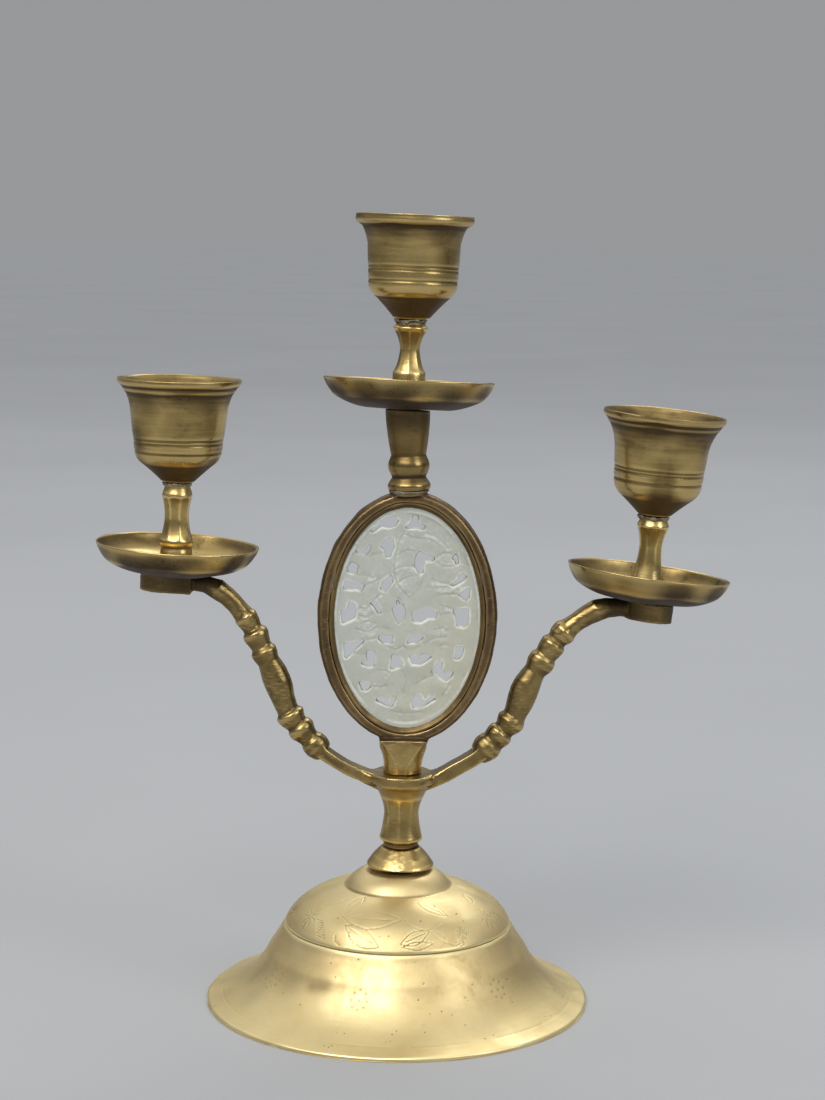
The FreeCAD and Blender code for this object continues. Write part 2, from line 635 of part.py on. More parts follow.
def make_plaque():
    gap = size("fit_gap")
    front = gap - size("bezel_back")
    back = front + size("plaque_depth")
    width = size("plaque_half_width")
    height = size("plaque_half_height")
    blank = oval_solid("plaque_blank", [(width, height, front), (width, height, back)])
    sketch = doc.addObject("Sketcher::SketchObject", "piercings")
    centre = FreeCAD.Vector(cell("medallion_x"), 0, cell("medallion_height"))
    upright = FreeCAD.Rotation(PITCH_AXIS, 90)
    sketch.Placement = leaning() * FreeCAD.Placement(centre, upright)
    for corners in PIERCINGS:
        points = [FreeCAD.Vector(across, up, 0) for across, up in corners]
        for start, end in zip(points, points[1:] + points[:1]):
            sketch.addGeometry(Part.LineSegment(start, end))
    tool = doc.addObject("Part::Extrusion", "piercing_cuts")
    tool.Base = sketch
    tool.DirMode = "Normal"
    tool.Symmetric = True
    tool.Solid = True
    tool.FaceMakerClass = "Part::FaceMakerBullseye"
    tool.setExpression("LengthFwd", "2 * Sizes.frame_depth")
    keep("jade_plaque", cut_from("plaque_pierced", blank, tool))
    ring_front = back + gap
    ring_back = ring_front + size("ring_depth")
    ring = window_solid("ring_blank", ring_front, ring_back, gap)
    hole = oval_solid("ring_hole", [
        (size("ring_half_width"), size("ring_half_height"), ring_front),
        (size("ring_half_width"), size("ring_half_height"), ring_back)])
    keep("back_ring", cut_from("ring_open", ring, hole))


def make_upper_neck():
    frame = neck_frame()
    corners = outline("neck")
    axis = [(ZERO, corners[-1][1], None), (ZERO, ZERO, None)]
    blank = turned("neck", frame, corners + axis)
    tool = pin_hole("middle")
    keep("upper_neck", cut_from("neck_drilled", blank, tool))
    inner = size("pad_radius") + size("fit_gap")
    low = ZERO - size("neck_solder_height")
    high = ZERO - size("fit_gap")
    ring = [(inner, low, None), (size("neck_foot_radius"), high, None), (inner, high, None)]
    keep("neck_solder", turned("neck_solder", frame, ring))


# the arms


def arm_curve(name):
    points = [FreeCAD.Vector(cell(f"{name}_across_{index}"), 0, cell(f"{name}_height_{index}"))
              for index in range(len(ARM_PATHS[name]))]
    curve = Part.BSplineCurve()
    curve.interpolate(points)
    return curve


def station_frame(curve, along):
    at = curve.parameterAtDistance(along, curve.FirstParameter)
    turn = FreeCAD.Rotation(UP, curve.tangent(at)[0])
    return leaning() * FreeCAD.Placement(curve.value(at), turn)


def turned_stretch(name, curve):
    """The ringed and balustered stretch: a loft through circles square to the centre line."""
    circles = []
    for index in range(len(ARM_STATIONS[name])):
        circle = doc.addObject("Part::Circle", f"{name}_circle_{index}")
        circle.setExpression("Radius", f"Sizes.{name}_radius_{index}")
        circle.Placement = station_frame(curve, cell(f"{name}_along_{index}"))
        circles.append(circle)
    return lofted(f"{name}_turning", circles)


def bar_stretch(name, side, curve):
    """The flat bar between the hub and the first ring, swept along the centre line."""
    end = curve.parameterAtDistance(cell(f"{side}_bar_length"), curve.FirstParameter)
    spine = doc.addObject("Part::Feature", f"{name}_line")
    spine.Shape = curve.toShape(curve.FirstParameter, end)
    spine.Placement = leaning()
    section = doc.addObject("Part::Plane", f"{name}_section")
    section.setExpression("Length", f"Sizes.{side}_bar_height")
    section.setExpression("Width", f"Sizes.{side}_bar_depth")
    section.Placement = shifted(station_frame(curve, 0.0),
                                -cell(f"{side}_bar_height") / 2, -cell(f"{side}_bar_depth") / 2)
    bar = doc.addObject("Part::Sweep", f"{name}_bar")
    bar.Sections = [section]
    bar.Spine = (spine, ["Edge1"])
    bar.Solid = True
    bar.Frenet = False
    return bar


def lug_solids():
    """The left arm's flat lug under its pan, round at its outer end."""
    frame = pan_frame("left")
    top = ZERO - size("seat_gap")
    bottom = top - size("lug_height")
    half = size("lug_depth") / number(2)
    nose = shifted(frame, cell("lug_depth") / 2 - cell("lug_end"))
    box = doc.addObject("Part::Box", "lug_box")
    box.setExpression("Length", "Sizes.lug_length - Sizes.lug_depth / 2")
    box.setExpression("Width", "Sizes.lug_depth")
    box.setExpression("Height", "Sizes.lug_height")
    box.Placement = shifted(nose, 0.0, -half.value, bottom.value)
    return [cylinder("lug_nose", nose, half, bottom, top), box]


def boss_solids():
    """The right arm's round boss under its pan."""
    frame = shifted(pan_frame("right"), cell("boss_shift"))
    top = ZERO - size("seat_gap")
    return [cylinder("boss_round", frame, size("boss_radius"), top - size("boss_height"), top)]


def pin_hole(side):
    return cylinder(f"{side}_pin_hole", cup_frame(side), size("pin_bore_radius"),
                    ZERO - size("pin_bore_bottom"), size("pin_bore_top"))


def make_arm(side, end_solids):
    name = f"arm_{side}"
    curve = arm_curve(name)
    solids = [bar_stretch(name, side, curve), turned_stretch(name, curve)]
    blank = joined(f"{name}_joined", solids + end_solids)
    butted = cut_from(f"{name}_butted", blank, hub_blank(f"{name}_hub"))
    keep(name, cut_from(f"{name}_drilled", butted, pin_hole(side)))


# pans, stems and cups


def make_pan(side):
    name = f"pan_{side}"
    wall = size("pan_wall")
    (floor, _, _), (curve, curve_height, low), (rim, rim_height, high) = outline(name)
    inward = wall * number(0.5)
    upward = wall * number(0.85)
    hole = size("pan_hole_radius")
    corners = outline(name) + [
        (rim - wall, rim_height, None),
        (curve - inward, curve_height + upward, ZERO - high),
        (floor, wall, ZERO - low),
        (hole, wall, None), (hole, ZERO, None)]
    keep(name, turned(name, pan_frame(side), corners))


def make_stem(side):
    name = f"stem_{side}"
    corners = outline(name)
    bore = size("pin_bore_radius")
    depth = size("pin_bore_top")
    axis = [(ZERO, corners[-1][1], None), (ZERO, depth, None), (bore, depth, None),
            (bore, corners[0][1], None)]
    keep(name, turned(name, cup_frame(side), corners + axis))
    pin = cylinder(f"pin_{side}", cup_frame(side), size("pin_radius"),
                   ZERO - size("pin_bottom"), size("pin_top"))
    keep(f"stud_{side}", pin)


def make_solder(side):
    rise = size(f"{side}_cup_rise") - size("fit_gap")
    inner = size(f"stem_{side}_top_radius") + size("fit_gap")
    corners = [(inner, rise - size("solder_height"), None),
               (size(f"cup_{side}_foot_radius"), rise, None), (inner, rise, None)]
    keep(f"solder_{side}", turned(f"solder_{side}", cup_frame(side), corners))


def make_cup(side):
    name = f"cup_{side}"
    corners = outline(name)
    rim, rim_height, _ = corners[-1]
    socket = size("socket_radius")
    inside = [(rim - size("cup_lip"), rim_height, None),
              (socket, size("socket_mouth"), ZERO - number(0.6)),
              (socket, size("socket_floor"), None), (ZERO, size("socket_floor"), None),
              (ZERO, ZERO, None)]
    frame = shifted(cup_frame(side), z=cell(f"{side}_cup_rise"))
    body = turned(name, frame, corners + inside)
    belly, belly_height = size(f"{name}_belly_radius"), size(f"{name}_belly_height")
    slope = ((size(f"{name}_side_radius") - belly)
             / (size(f"{name}_side_height") - belly_height))
    lines = []
    for index in range(len(CUP_LINES[name])):
        height = size(f"{name}_line_{index}")
        lines.append((belly + slope * (height - belly_height), height))
    turned_lines(body, name, lines, size("cup_line_radius"))
    keep(name, body)


def check_and_export():
    for item in doc.Objects:
        if "Invalid" in item.State or "Error" in item.State:
            raise RuntimeError(f"{item.Name} did not recompute: {item.State}")
    for label, item in parts.items():
        if item.Shape.isNull() or not item.Shape.isValid():
            raise RuntimeError(f"{label} has no valid shape")
    os.makedirs("parts", exist_ok=True)
    for label, item in parts.items():
        item.Shape.exportStep(f"parts/{label}.step")
        box = item.Shape.BoundBox
        print(f"{label}: {len(item.Shape.Solids)} solid, {item.Shape.Volume:.0f} mm3, "
              f"x {box.XMin:.1f}..{box.XMax:.1f}, z {box.ZMin:.1f}..{box.ZMax:.1f}")


def main():
    fill_sheet()
    make_dome()
    make_fasteners()
    make_column()
    make_hub()
    make_saddle()
    make_frame()
    make_bezel()
    make_plaque()
    make_upper_neck()
    make_arm("left", lug_solids())
    make_arm("right", boss_solids())
    for side in SEATS:
        make_pan(side)
        make_stem(side)
        make_solder(side)
        make_cup(side)
    doc.recompute()
    check_and_export()


main()
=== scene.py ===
"""Looks of the tabletop candelabra: turned, cast and engraved brass around a carved stone.

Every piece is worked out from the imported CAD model. Turned pieces are lathed again from their
own outlines with tool marks and rounded edges. Cast and filed pieces are remeshed from their
own solids and then worked over. Lengths are metres, and MM turns millimetres into them.
"""
import json
import math

import bmesh
import bpy
import numpy as np
from mathutils import Matrix, Vector


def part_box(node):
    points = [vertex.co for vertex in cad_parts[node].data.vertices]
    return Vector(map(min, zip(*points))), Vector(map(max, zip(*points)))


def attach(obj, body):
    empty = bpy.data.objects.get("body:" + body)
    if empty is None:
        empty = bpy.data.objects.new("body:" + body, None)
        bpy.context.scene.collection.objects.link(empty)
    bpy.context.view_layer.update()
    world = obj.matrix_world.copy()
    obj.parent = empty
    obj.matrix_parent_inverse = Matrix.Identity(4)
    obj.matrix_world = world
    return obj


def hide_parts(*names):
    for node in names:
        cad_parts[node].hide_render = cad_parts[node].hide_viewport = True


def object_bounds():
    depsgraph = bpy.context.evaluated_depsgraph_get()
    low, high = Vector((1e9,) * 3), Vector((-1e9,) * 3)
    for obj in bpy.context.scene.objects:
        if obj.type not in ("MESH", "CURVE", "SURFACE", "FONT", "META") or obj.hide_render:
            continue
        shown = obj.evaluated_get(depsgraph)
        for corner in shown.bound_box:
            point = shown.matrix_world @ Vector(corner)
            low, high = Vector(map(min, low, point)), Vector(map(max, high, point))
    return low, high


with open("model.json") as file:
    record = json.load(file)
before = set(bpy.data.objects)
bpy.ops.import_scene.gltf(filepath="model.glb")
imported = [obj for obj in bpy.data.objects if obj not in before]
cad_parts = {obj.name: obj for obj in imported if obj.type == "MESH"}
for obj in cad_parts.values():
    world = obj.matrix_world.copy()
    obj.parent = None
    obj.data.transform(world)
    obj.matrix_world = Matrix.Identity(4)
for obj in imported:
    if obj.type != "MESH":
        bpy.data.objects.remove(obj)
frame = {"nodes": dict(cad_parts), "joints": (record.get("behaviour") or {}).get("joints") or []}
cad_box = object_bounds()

MM = 0.001
SIDES = ("left", "middle", "right")
JOINTS = {joint["name"]: joint for joint in frame["joints"]}


# number helpers


def smooth(low, high, value):
    """0 below low, 1 above high and a soft step between."""
    share = np.clip((value - low) / (high - low), 0.0, 1.0)
    return share * share * (3.0 - 2.0 * share)


def bell(value, width):
    """1 where value is nothing, falling away over width."""
    return np.exp(-(value / width) ** 2)


def waves(points, size, seed, count=24):
    """A smooth random field of about -1 to 1 with bumps of that size, the same each run."""
    rng = np.random.default_rng(seed)
    directions = rng.normal(size=(count, 3))
    directions /= np.linalg.norm(directions, axis=1)[:, None]
    directions *= (rng.uniform(0.6, 1.6, count) * math.pi / size)[:, None]
    phases = rng.uniform(0, 2 * math.pi, count)
    return np.sin(points @ directions.T + phases).sum(-1) / math.sqrt(count)


def engraving(points, strokes, width):
    """How deep each point lies in the strokes, 0 to 1. A stroke is a line of points."""
    deep = np.zeros(len(points))
    for stroke in strokes:
        reach = 3 * width
        inside = (points > stroke.min(0) - reach) & (points < stroke.max(0) + reach)
        near = np.flatnonzero(inside.all(1))
        for start, end in zip(stroke[:-1], stroke[1:]):
            span = end - start
            share = np.clip((points[near] - start) @ span / max(span @ span, 1e-12), 0, 1)
            gap = np.linalg.norm(points[near] - start - share[:, None] * span, axis=1)
            deep[near] = np.maximum(deep[near], bell(gap, width))
    return deep


def curved(points, count=12):
    """A smooth line through a few points."""
    points = np.array(points, float)
    if len(points) < 3:
        return points
    padded = np.vstack([2 * points[0] - points[1], points, 2 * points[-1] - points[-2]])
    share = np.linspace(0, 1, count, endpoint=False)[:, None]
    line = []
    for before, start, end, after in zip(padded, padded[1:], padded[2:], padded[3:]):
        line.append(0.5 * (2 * start + (end - before) * share
                           + (2 * before - 5 * start + 4 * end - after) * share ** 2
                           + (3 * start - before - 3 * end + after) * share ** 3))
    return np.vstack(line + [points[-1:]])


# places and outlines from the CAD


class Axis:
    """A place on the object with an upright direction, for pieces that lean."""

    def __init__(self, origin, direction):
        self.origin = np.array(origin, float)
        up = Vector(direction).normalized()
        self.turn = np.array(Vector((0, 0, 1)).rotation_difference(up).to_matrix(), float)

    def local(self, points):
        return (points - self.origin) @ self.turn

    def world(self, points):
        return points @ self.turn.T + self.origin


def joint_axis(name):
    return Axis(JOINTS[name]["pos_m"], JOINTS[name]["axis"])


def box_centre(node):
    low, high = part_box(node)
    return np.array((low + high) / 2)


def mesh_arrays(mesh):
    points = np.zeros(len(mesh.vertices) * 3)
    mesh.vertices.foreach_get("co", points)
    edges = np.zeros(len(mesh.edges) * 2, int)
    mesh.edges.foreach_get("vertices", edges)
    return points.reshape(-1, 3), edges.reshape(-1, 2)


def rings_of(local):
    """The rings that a turned solid's points lie on: (radius, height) pairs, and each point's."""
    places = np.stack([np.hypot(local[:, 0], local[:, 1]), local[:, 2]], 1)
    grain = 0.01 * MM
    fewest = 10
    rough, cluster, counts = np.unique(np.round(places / grain).astype(int), axis=0,
                                       return_inverse=True, return_counts=True)
    gaps = np.abs(rough[:, None] - rough[None]).max(2)
    heaviest = np.argmax(np.where(gaps <= 3, counts[None], 0), 1)
    while (heaviest != heaviest[heaviest]).any():
        heaviest = heaviest[heaviest]
    ring = heaviest[cluster.ravel()]
    members = np.bincount(ring, minlength=len(rough))
    return rough * grain, np.where(members[ring] >= fewest, ring, -1)


def outline(node, axis, cap_radius=0.0):
    """The turned outline of a CAD node about its axis, as a loop of (radius, height) points.

    Points within cap_radius are left out, and flat ends are carried on to it."""
    points, edges = mesh_arrays(frame["nodes"][node].data)
    places, ring = rings_of(axis.local(points))
    links = {}
    for a, b in ring[edges]:
        if a != b and a >= 0 and b >= 0:
            links.setdefault(int(a), set()).add(int(b))
            links.setdefault(int(b), set()).add(int(a))
    ends = sorted(key for key, others in links.items() if len(others) == 1)
    best = []
    for start in ends or [min(links)]:
        chain = [start]
        while links[chain[-1]] - set(chain):
            onward = links[chain[-1]] - set(chain)
            chain.append(min(onward, key=lambda key: np.abs(places[key] - places[chain[-1]]).sum()))
        best = max(best, chain, key=len)
    loop = places[best]
    loop = loop[loop[:, 0] > cap_radius]
    if ends or cap_radius:
        loop = np.vstack([[cap_radius, loop[0, 1]], loop, [cap_radius, loop[-1, 1]]])
    ahead = np.roll(loop, -1, 0)
    area = (loop[:, 0] * ahead[:, 1] - ahead[:, 0] * loop[:, 1]).sum()
    return loop if area > 0 else loop[::-1]


def resampled(line, step, rounds=3):
    """The line with a point about every step and its corners worn round."""
    lengths = np.linalg.norm(np.diff(line, axis=0), axis=1)
    along = np.concatenate([[0], np.cumsum(lengths)])
    count = max(6, int(round(along[-1] / step)))
    spots = np.linspace(0, along[-1], count + 1)
    dense = np.stack([np.interp(spots, along, line[:, i]) for i in range(2)], 1)
    for _ in range(rounds):
        dense[1:-1] = (dense[:-2] + 2 * dense[1:-1] + dense[2:]) / 4
    return dense


def two_steps(shown, hidden, step, hidden_step):
    """A closed line with close points where it shows and few where it is hidden."""
    return np.vstack([resampled(shown, step), resampled(hidden, hidden_step)[1:]])


def rotated_loop(loop, first):
    """The loop as a line that starts and ends at its point number first."""
    return np.vstack([loop[first:], loop[:first + 1]])


def nearest(loop, radius, height):
    return int(np.argmin(np.hypot(loop[:, 0] - radius, loop[:, 1] - height)))


# meshes


def neighbour_mean(values, edges, count):
    """Each vertex's mean over its neighbours."""
    degree = np.bincount(edges.ravel(), minlength=count)[:, None]
    total = np.stack([np.bincount(edges[:, 0], values[edges[:, 1], i], count)
                      + np.bincount(edges[:, 1], values[edges[:, 0], i], count)
                      for i in range(values.shape[1])], 1)
    return total / np.maximum(degree, 1)


def eased(points, edges, rounds, share=0.5):
    for _ in range(rounds):
        points = points + share * (neighbour_mean(points, edges, len(points)) - points)
    return points


def vertex_normals(mesh):
    normals = np.zeros(len(mesh.vertices) * 3)
    mesh.vertex_normals.foreach_get("vector", normals)
    return normals.reshape(-1, 3)


def put_points(mesh, points):
    low, high = (np.array(corner) for corner in cad_box)
    mesh.vertices.foreach_set("co", np.clip(points, low, high).astype(np.float32).ravel())
    mesh.update()


def put_attribute(mesh, name, values):
    kind, field = ("FLOAT_VECTOR", "vector") if values.ndim > 1 else ("FLOAT", "value")
    attribute = mesh.attributes.new(name, kind, "POINT")
    attribute.data.foreach_set(field, values.astype(np.float32).ravel())


def mark_wear_and_shading(mesh, reach, height, grime_and_shade=None):
    """Paints where edges stand out, rubbed bright on the metal and as a painted highlight on the
    stone, and where grooves hold brown deposits.

    The given function adds brown patina where the piece is never cleaned and painted shade where
    shade falls. Downward-facing sides are marked for painted shade, upward-facing sides for painted
    light."""
    points, edges = mesh_arrays(mesh)
    normals = vertex_normals(mesh)
    near = eased(points, edges, 3)
    far = eased(near, edges, reach)
    rise = ((points - far) * normals).sum(1) / height
    crease = ((points - near) * normals).sum(1) / (0.16 * height)
    rise = eased(rise[:, None], edges, 2)[:, 0]
    patches = waves(points, 9 * MM, 5)
    wear_and_highlight = np.maximum(smooth(0.25, 1.1, rise * (1 + 0.35 * patches)),
                      0.8 * smooth(0.5, 1.6, crease * (1 + 0.35 * patches)))
    dirt_and_shade = smooth(0.2, 1.2, -rise * (1 + 0.25 * patches))
    # The given darkening is brown patina on some pieces and painted shade on others.
    if grime_and_shade is not None:
        brown = np.clip(grime_and_shade(points) * (1 + 0.3 * patches), 0, 1)
        dirt_and_shade = np.maximum(dirt_and_shade, brown)
        wear_and_highlight = wear_and_highlight * (1 - brown)
    put_attribute(mesh, "wear_and_highlight", wear_and_highlight)
    put_attribute(mesh, "dirt_and_shade", dirt_and_shade)
    # Painted shade: downward-facing sides are marked to be darkened.
    put_attribute(mesh, "under", smooth(0.05, 0.75, -normals[:, 2]))
    # Painted light: upward-facing sides are marked to be lightened.
    put_attribute(mesh, "over", smooth(0.45, 0.95, normals[:, 2]))


def placed(mesh, name, body, material, nodes=()):
    """Puts a finished mesh into the scene as a piece that stands for CAD nodes."""
    mesh.materials.clear()
    mesh.materials.append(material)
    mesh.polygons.foreach_set("use_smooth", np.ones(len(mesh.polygons), bool))
    mesh.name = name
    piece = bpy.data.objects.new(name, mesh)
    bpy.context.scene.collection.objects.link(piece)
    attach(piece, body)
    if nodes:
        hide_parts(*nodes)
    return piece


def lathed(axis, line, segments, shape):
    """A turned surface about the axis. shape(turn, run, points) says how far it stands out."""
    angles = np.arange(segments) * 2 * math.pi / segments
    rows = len(line)
    ring = np.stack([np.cos(angles), np.sin(angles)], 1)
    local = np.zeros((rows, segments, 3))
    local[:, :, :2] = line[:, None, :1] * ring
    local[:, :, 2] = line[:, None, 1]
    lengths = np.linalg.norm(np.diff(line, axis=0), axis=1)
    run = np.concatenate([[0], np.cumsum(lengths)])
    ahead = np.gradient(line, axis=0)
    out = np.stack([ahead[:, 1], -ahead[:, 0]], 1)
    out /= np.maximum(np.linalg.norm(out, axis=1), 1e-9)[:, None]
    normals = np.zeros_like(local)
    normals[:, :, :2] = out[:, None, :1] * ring
    normals[:, :, 2] = out[:, None, 1]
    turn = np.tile(angles, (rows, 1))
    runs = np.repeat(run[:, None], segments, 1)
    stand = shape(turn.ravel(), runs.ravel(), local.reshape(-1, 3))
    stand = stand * smooth(0.0, 1.5 * MM, np.hypot(local[..., 0], local[..., 1]).ravel())
    points = axis.world(local.reshape(-1, 3) + normals.reshape(-1, 3) * stand[:, None])
    index = np.arange(rows * segments).reshape(rows, segments)
    beside = np.roll(index, -1, 1)
    quads = np.stack([index[:-1], beside[:-1], beside[1:], index[1:]], -1).reshape(-1, 4)
    mesh = bpy.data.meshes.new("lathed")
    mesh.vertices.add(len(points))
    mesh.loops.add(quads.size)
    mesh.polygons.add(len(quads))
    mesh.loops.foreach_set("vertex_index", quads.ravel())
    mesh.polygons.foreach_set("loop_start", np.arange(0, quads.size, 4))
    put_points(mesh, points)
    mesh.update(calc_edges=True)
    grain = np.stack([4 * np.cos(turn), 4 * np.sin(turn), runs / MM], -1).reshape(-1, 3)
    put_attribute(mesh, "turn", grain)
    weld(mesh)
    return mesh


def weld(mesh):
    """Joins the points of a turned surface that meet at its axis or where its line closes."""
    shell = bmesh.new()
    shell.from_mesh(mesh)
    bmesh.ops.remove_doubles(shell, verts=shell.verts, dist=0.002 * MM)
    shell.to_mesh(mesh)
    shell.free()
    mesh.update()


def remeshed(nodes, voxel, rounds, bridges=()):
    """A close even skin over one or more CAD solids, with its corners rounded off.

    Each bridge is a set of points whose hull fills a gap between the solids."""
    solids = bmesh.new()
    for node in nodes:
        solids.from_mesh(frame["nodes"][node].data)
    for bridge in bridges:
        corners = [solids.verts.new(point) for point in bridge]
        bmesh.ops.convex_hull(solids, input=corners)
    together = bpy.data.meshes.new("solids")
    solids.to_mesh(together)
    solids.free()
    source = bpy.data.objects.new("solids", together)
    bpy.context.scene.collection.objects.link(source)
    skin = source.modifiers.new("skin", "REMESH")
    skin.mode = "VOXEL"
    skin.voxel_size = voxel
    graph = bpy.context.evaluated_depsgraph_get()
    mesh = bpy.data.meshes.new_from_object(source.evaluated_get(graph))
    bpy.data.objects.remove(source)
    points, edges = mesh_arrays(mesh)
    shrink, regrow = 0.5, -0.51
    for _ in range(rounds):
        points = eased(points, edges, 1, shrink)
        points = eased(points, edges, 1, regrow)
    put_points(mesh, eased(points, edges, 2))
    return mesh


def worked(mesh, stand):
    """Moves a mesh along its normals by stand metres at each point."""
    points, _ = mesh_arrays(mesh)
    put_points(mesh, points + vertex_normals(mesh) * stand[:, None])


# materials


class Graph:
    """A node material under construction."""

    def __init__(self, name):
        self.material = bpy.data.materials.new(name)
        self.material.use_nodes = True
        self.tree = self.material.node_tree
        self.tree.nodes.clear()
        place = self.tree.nodes.new("ShaderNodeTexCoord")
        self.place = place.outputs["Object"]

    def fill(self, socket, value):
        if isinstance(value, bpy.types.NodeSocket):
            self.tree.links.new(value, socket)
        else:
            socket.default_value = value

    def math(self, operation, first, second=0.0):
        node = self.tree.nodes.new("ShaderNodeMath")
        node.operation = operation
        self.fill(node.inputs[0], first)
        self.fill(node.inputs[1], second)
        return node.outputs[0]

    def total(self, *values):
        result = values[0]
        for value in values[1:]:
            result = self.math("ADD", result, value)
        return result

    def scaled(self, value, factor):
        return self.math("MULTIPLY", value, factor)

    def step(self, value, low, high, start=0.0, end=1.0):
        node = self.tree.nodes.new("ShaderNodeMapRange")
        node.interpolation_type = "SMOOTHSTEP"
        for socket, number in zip(node.inputs, (value, low, high, start, end)):
            self.fill(socket, number)
        return node.outputs[0]

    def noise(self, scale, detail=4.0, roughness=0.55, vector=None, distortion=0.0):
        node = self.tree.nodes.new("ShaderNodeTexNoise")
        self.fill(node.inputs["Vector"], self.place if vector is None else vector)
        node.inputs["Scale"].default_value = scale
        node.inputs["Detail"].default_value = detail
        node.inputs["Roughness"].default_value = roughness
        node.inputs["Distortion"].default_value = distortion
        return node.outputs[0]

    def spots(self, scale, size, vector=None):
        """Small round spots with soft rims, at about one in three of the cells."""
        node = self.tree.nodes.new("ShaderNodeTexVoronoi")
        self.fill(node.inputs["Vector"], self.place if vector is None else vector)
        node.inputs["Scale"].default_value = scale
        near = self.step(node.outputs["Distance"], size, 0.35 * size)
        chosen = self.step(self.noise(scale * 0.31, 1.0), 0.54, 0.6)
        return self.scaled(near, chosen)

    def stretched(self, vector, x, y, z):
        node = self.tree.nodes.new("ShaderNodeMapping")
        self.fill(node.inputs["Vector"], vector)
        node.inputs["Scale"].default_value = (x, y, z)
        return node.outputs[0]

    def mark(self, name, output="Fac"):
        node = self.tree.nodes.new("ShaderNodeAttribute")
        node.attribute_name = name
        return node.outputs[output]

    def mix(self, share, first, second):
        node = self.tree.nodes.new("ShaderNodeMix")
        node.data_type = "RGBA"
        colours = [socket for socket in node.inputs if socket.type == "RGBA"]
        self.fill(node.inputs[0], share)
        for socket, value in zip(colours, (first, second)):
            self.fill(socket, value if isinstance(value, bpy.types.NodeSocket) else (*value, 1))
        return next(socket for socket in node.outputs if socket.type == "RGBA")

    def bump(self, height, strength, distance, under=None):
        node = self.tree.nodes.new("ShaderNodeBump")
        node.inputs["Strength"].default_value = strength
        node.inputs["Distance"].default_value = distance
        self.fill(node.inputs["Height"], height)
        if under is not None:
            self.fill(node.inputs["Normal"], under)
        return node.outputs[0]

    def finish(self, **inputs):
        shader = self.tree.nodes.new("ShaderNodeBsdfPrincipled")
        for name, value in inputs.items():
            self.fill(shader.inputs[name.replace("_", " ")], value)
        output = self.tree.nodes.new("ShaderNodeOutputMaterial")
        self.tree.links.new(shader.outputs[0], output.inputs["Surface"])
        return self.material


def brass(name, bright, dull, brown, patina_and_shade=0.5, brushed=0.5, gloss=0.3, filed=0.0, top_light=0.0):
    """Aged brass: bright and dull tones, brown in the hollows and rubbed edges.

    The first figure after the colours is how much brown has grown and how much painted shade
    darkens the downward-facing sides, brushed how strong the rings of the lathe are, gloss the
    roughness of the clean metal, filed how strong the short straight file marks are, and the last
    figure how much painted light brightens the upper sides."""
    graph = Graph(name)
    # Bright metal for rubbed edges, also used as painted light on the upper sides.
    shine = tuple(min(1.0, 1.2 * c + 0.1 * share) for c, share in zip(bright, (1.0, 0.78, 0.4)))
    wear_and_highlight = graph.mark("wear_and_highlight")
    dirt_and_shade = graph.mark("dirt_and_shade")
    under = graph.mark("under")
    turn = graph.mark("turn", "Vector")
    broad = graph.noise(38.0, 3.0)
    cloud = graph.noise(120.0, 5.0, 0.6, distortion=0.6)
    speckle = graph.noise(900.0, 3.0, 0.6)
    rings = graph.noise(1.0, 4.0, 0.65, vector=graph.stretched(turn, 0.55, 0.55, 5.5))
    wide_rings = graph.noise(1.0, 2.0, 0.5, vector=graph.stretched(turn, 0.3, 0.3, 1.1))
    marks = graph.noise(1.0, 3.0, 0.6, vector=graph.stretched(graph.place, 350.0, 350.0, 2400.0))
    tone = graph.total(graph.scaled(graph.step(broad, 0.36, 0.64), 0.55),
                       graph.scaled(graph.step(wide_rings, 0.35, 0.65), 0.35 * brushed),
                       graph.scaled(graph.step(cloud, 0.35, 0.65), 0.35))
    metal = graph.mix(graph.math("MINIMUM", tone, 1.0), bright, dull)
    stains = graph.step(graph.math("ADD", cloud, graph.scaled(broad, 0.6)), 0.9, 1.12)
    # Brown from hollows, stains and specks, plus painted shade on downward-facing sides and where
    # shade falls between parts.
    brown_and_shade = graph.total(graph.scaled(dirt_and_shade, 0.95), graph.scaled(under, 0.75 * patina_and_shade),
                         graph.scaled(stains, 0.6 * patina_and_shade),
                         graph.scaled(graph.step(speckle, 0.55, 0.75), 0.25 * patina_and_shade))
    brown_and_shade = graph.math("MINIMUM", graph.math("SUBTRACT", brown_and_shade, graph.scaled(wear_and_highlight, 0.9)), 1.0)
    # Painted light: upward-facing sides are made brighter and less brown.
    over = graph.scaled(graph.mark("over"), top_light)
    brown_and_shade = graph.math("MAXIMUM", graph.math("SUBTRACT", brown_and_shade, graph.scaled(over, 0.8)), 0.0)
    metal = graph.mix(over, metal, shine)
    colour = graph.mix(brown_and_shade, metal, brown)
    pits = graph.spots(420.0, 0.16)
    colour = graph.mix(graph.scaled(pits, 0.75), colour, tuple(0.35 * c for c in brown))
    colour = graph.mix(graph.scaled(wear_and_highlight, 0.85), colour, shine)
    rough = graph.total(graph.scaled(graph.step(cloud, 0.3, 0.7), 0.12), gloss,
                        graph.scaled(brown_and_shade, 0.22), graph.scaled(wear_and_highlight, -0.1),
                        graph.scaled(graph.math("SUBTRACT", rings, 0.5), 0.22 * brushed))
    height = graph.total(graph.scaled(rings, 0.7 * brushed), graph.scaled(speckle, 0.25),
                         graph.scaled(marks, filed), graph.scaled(pits, -1.2))
    normal = graph.bump(height, 0.55, 0.035 * MM)
    metallic = graph.math("SUBTRACT", 1.0, graph.scaled(brown_and_shade, 0.3))
    return graph.finish(Base_Color=colour, Metallic=metallic, Roughness=rough, Normal=normal)


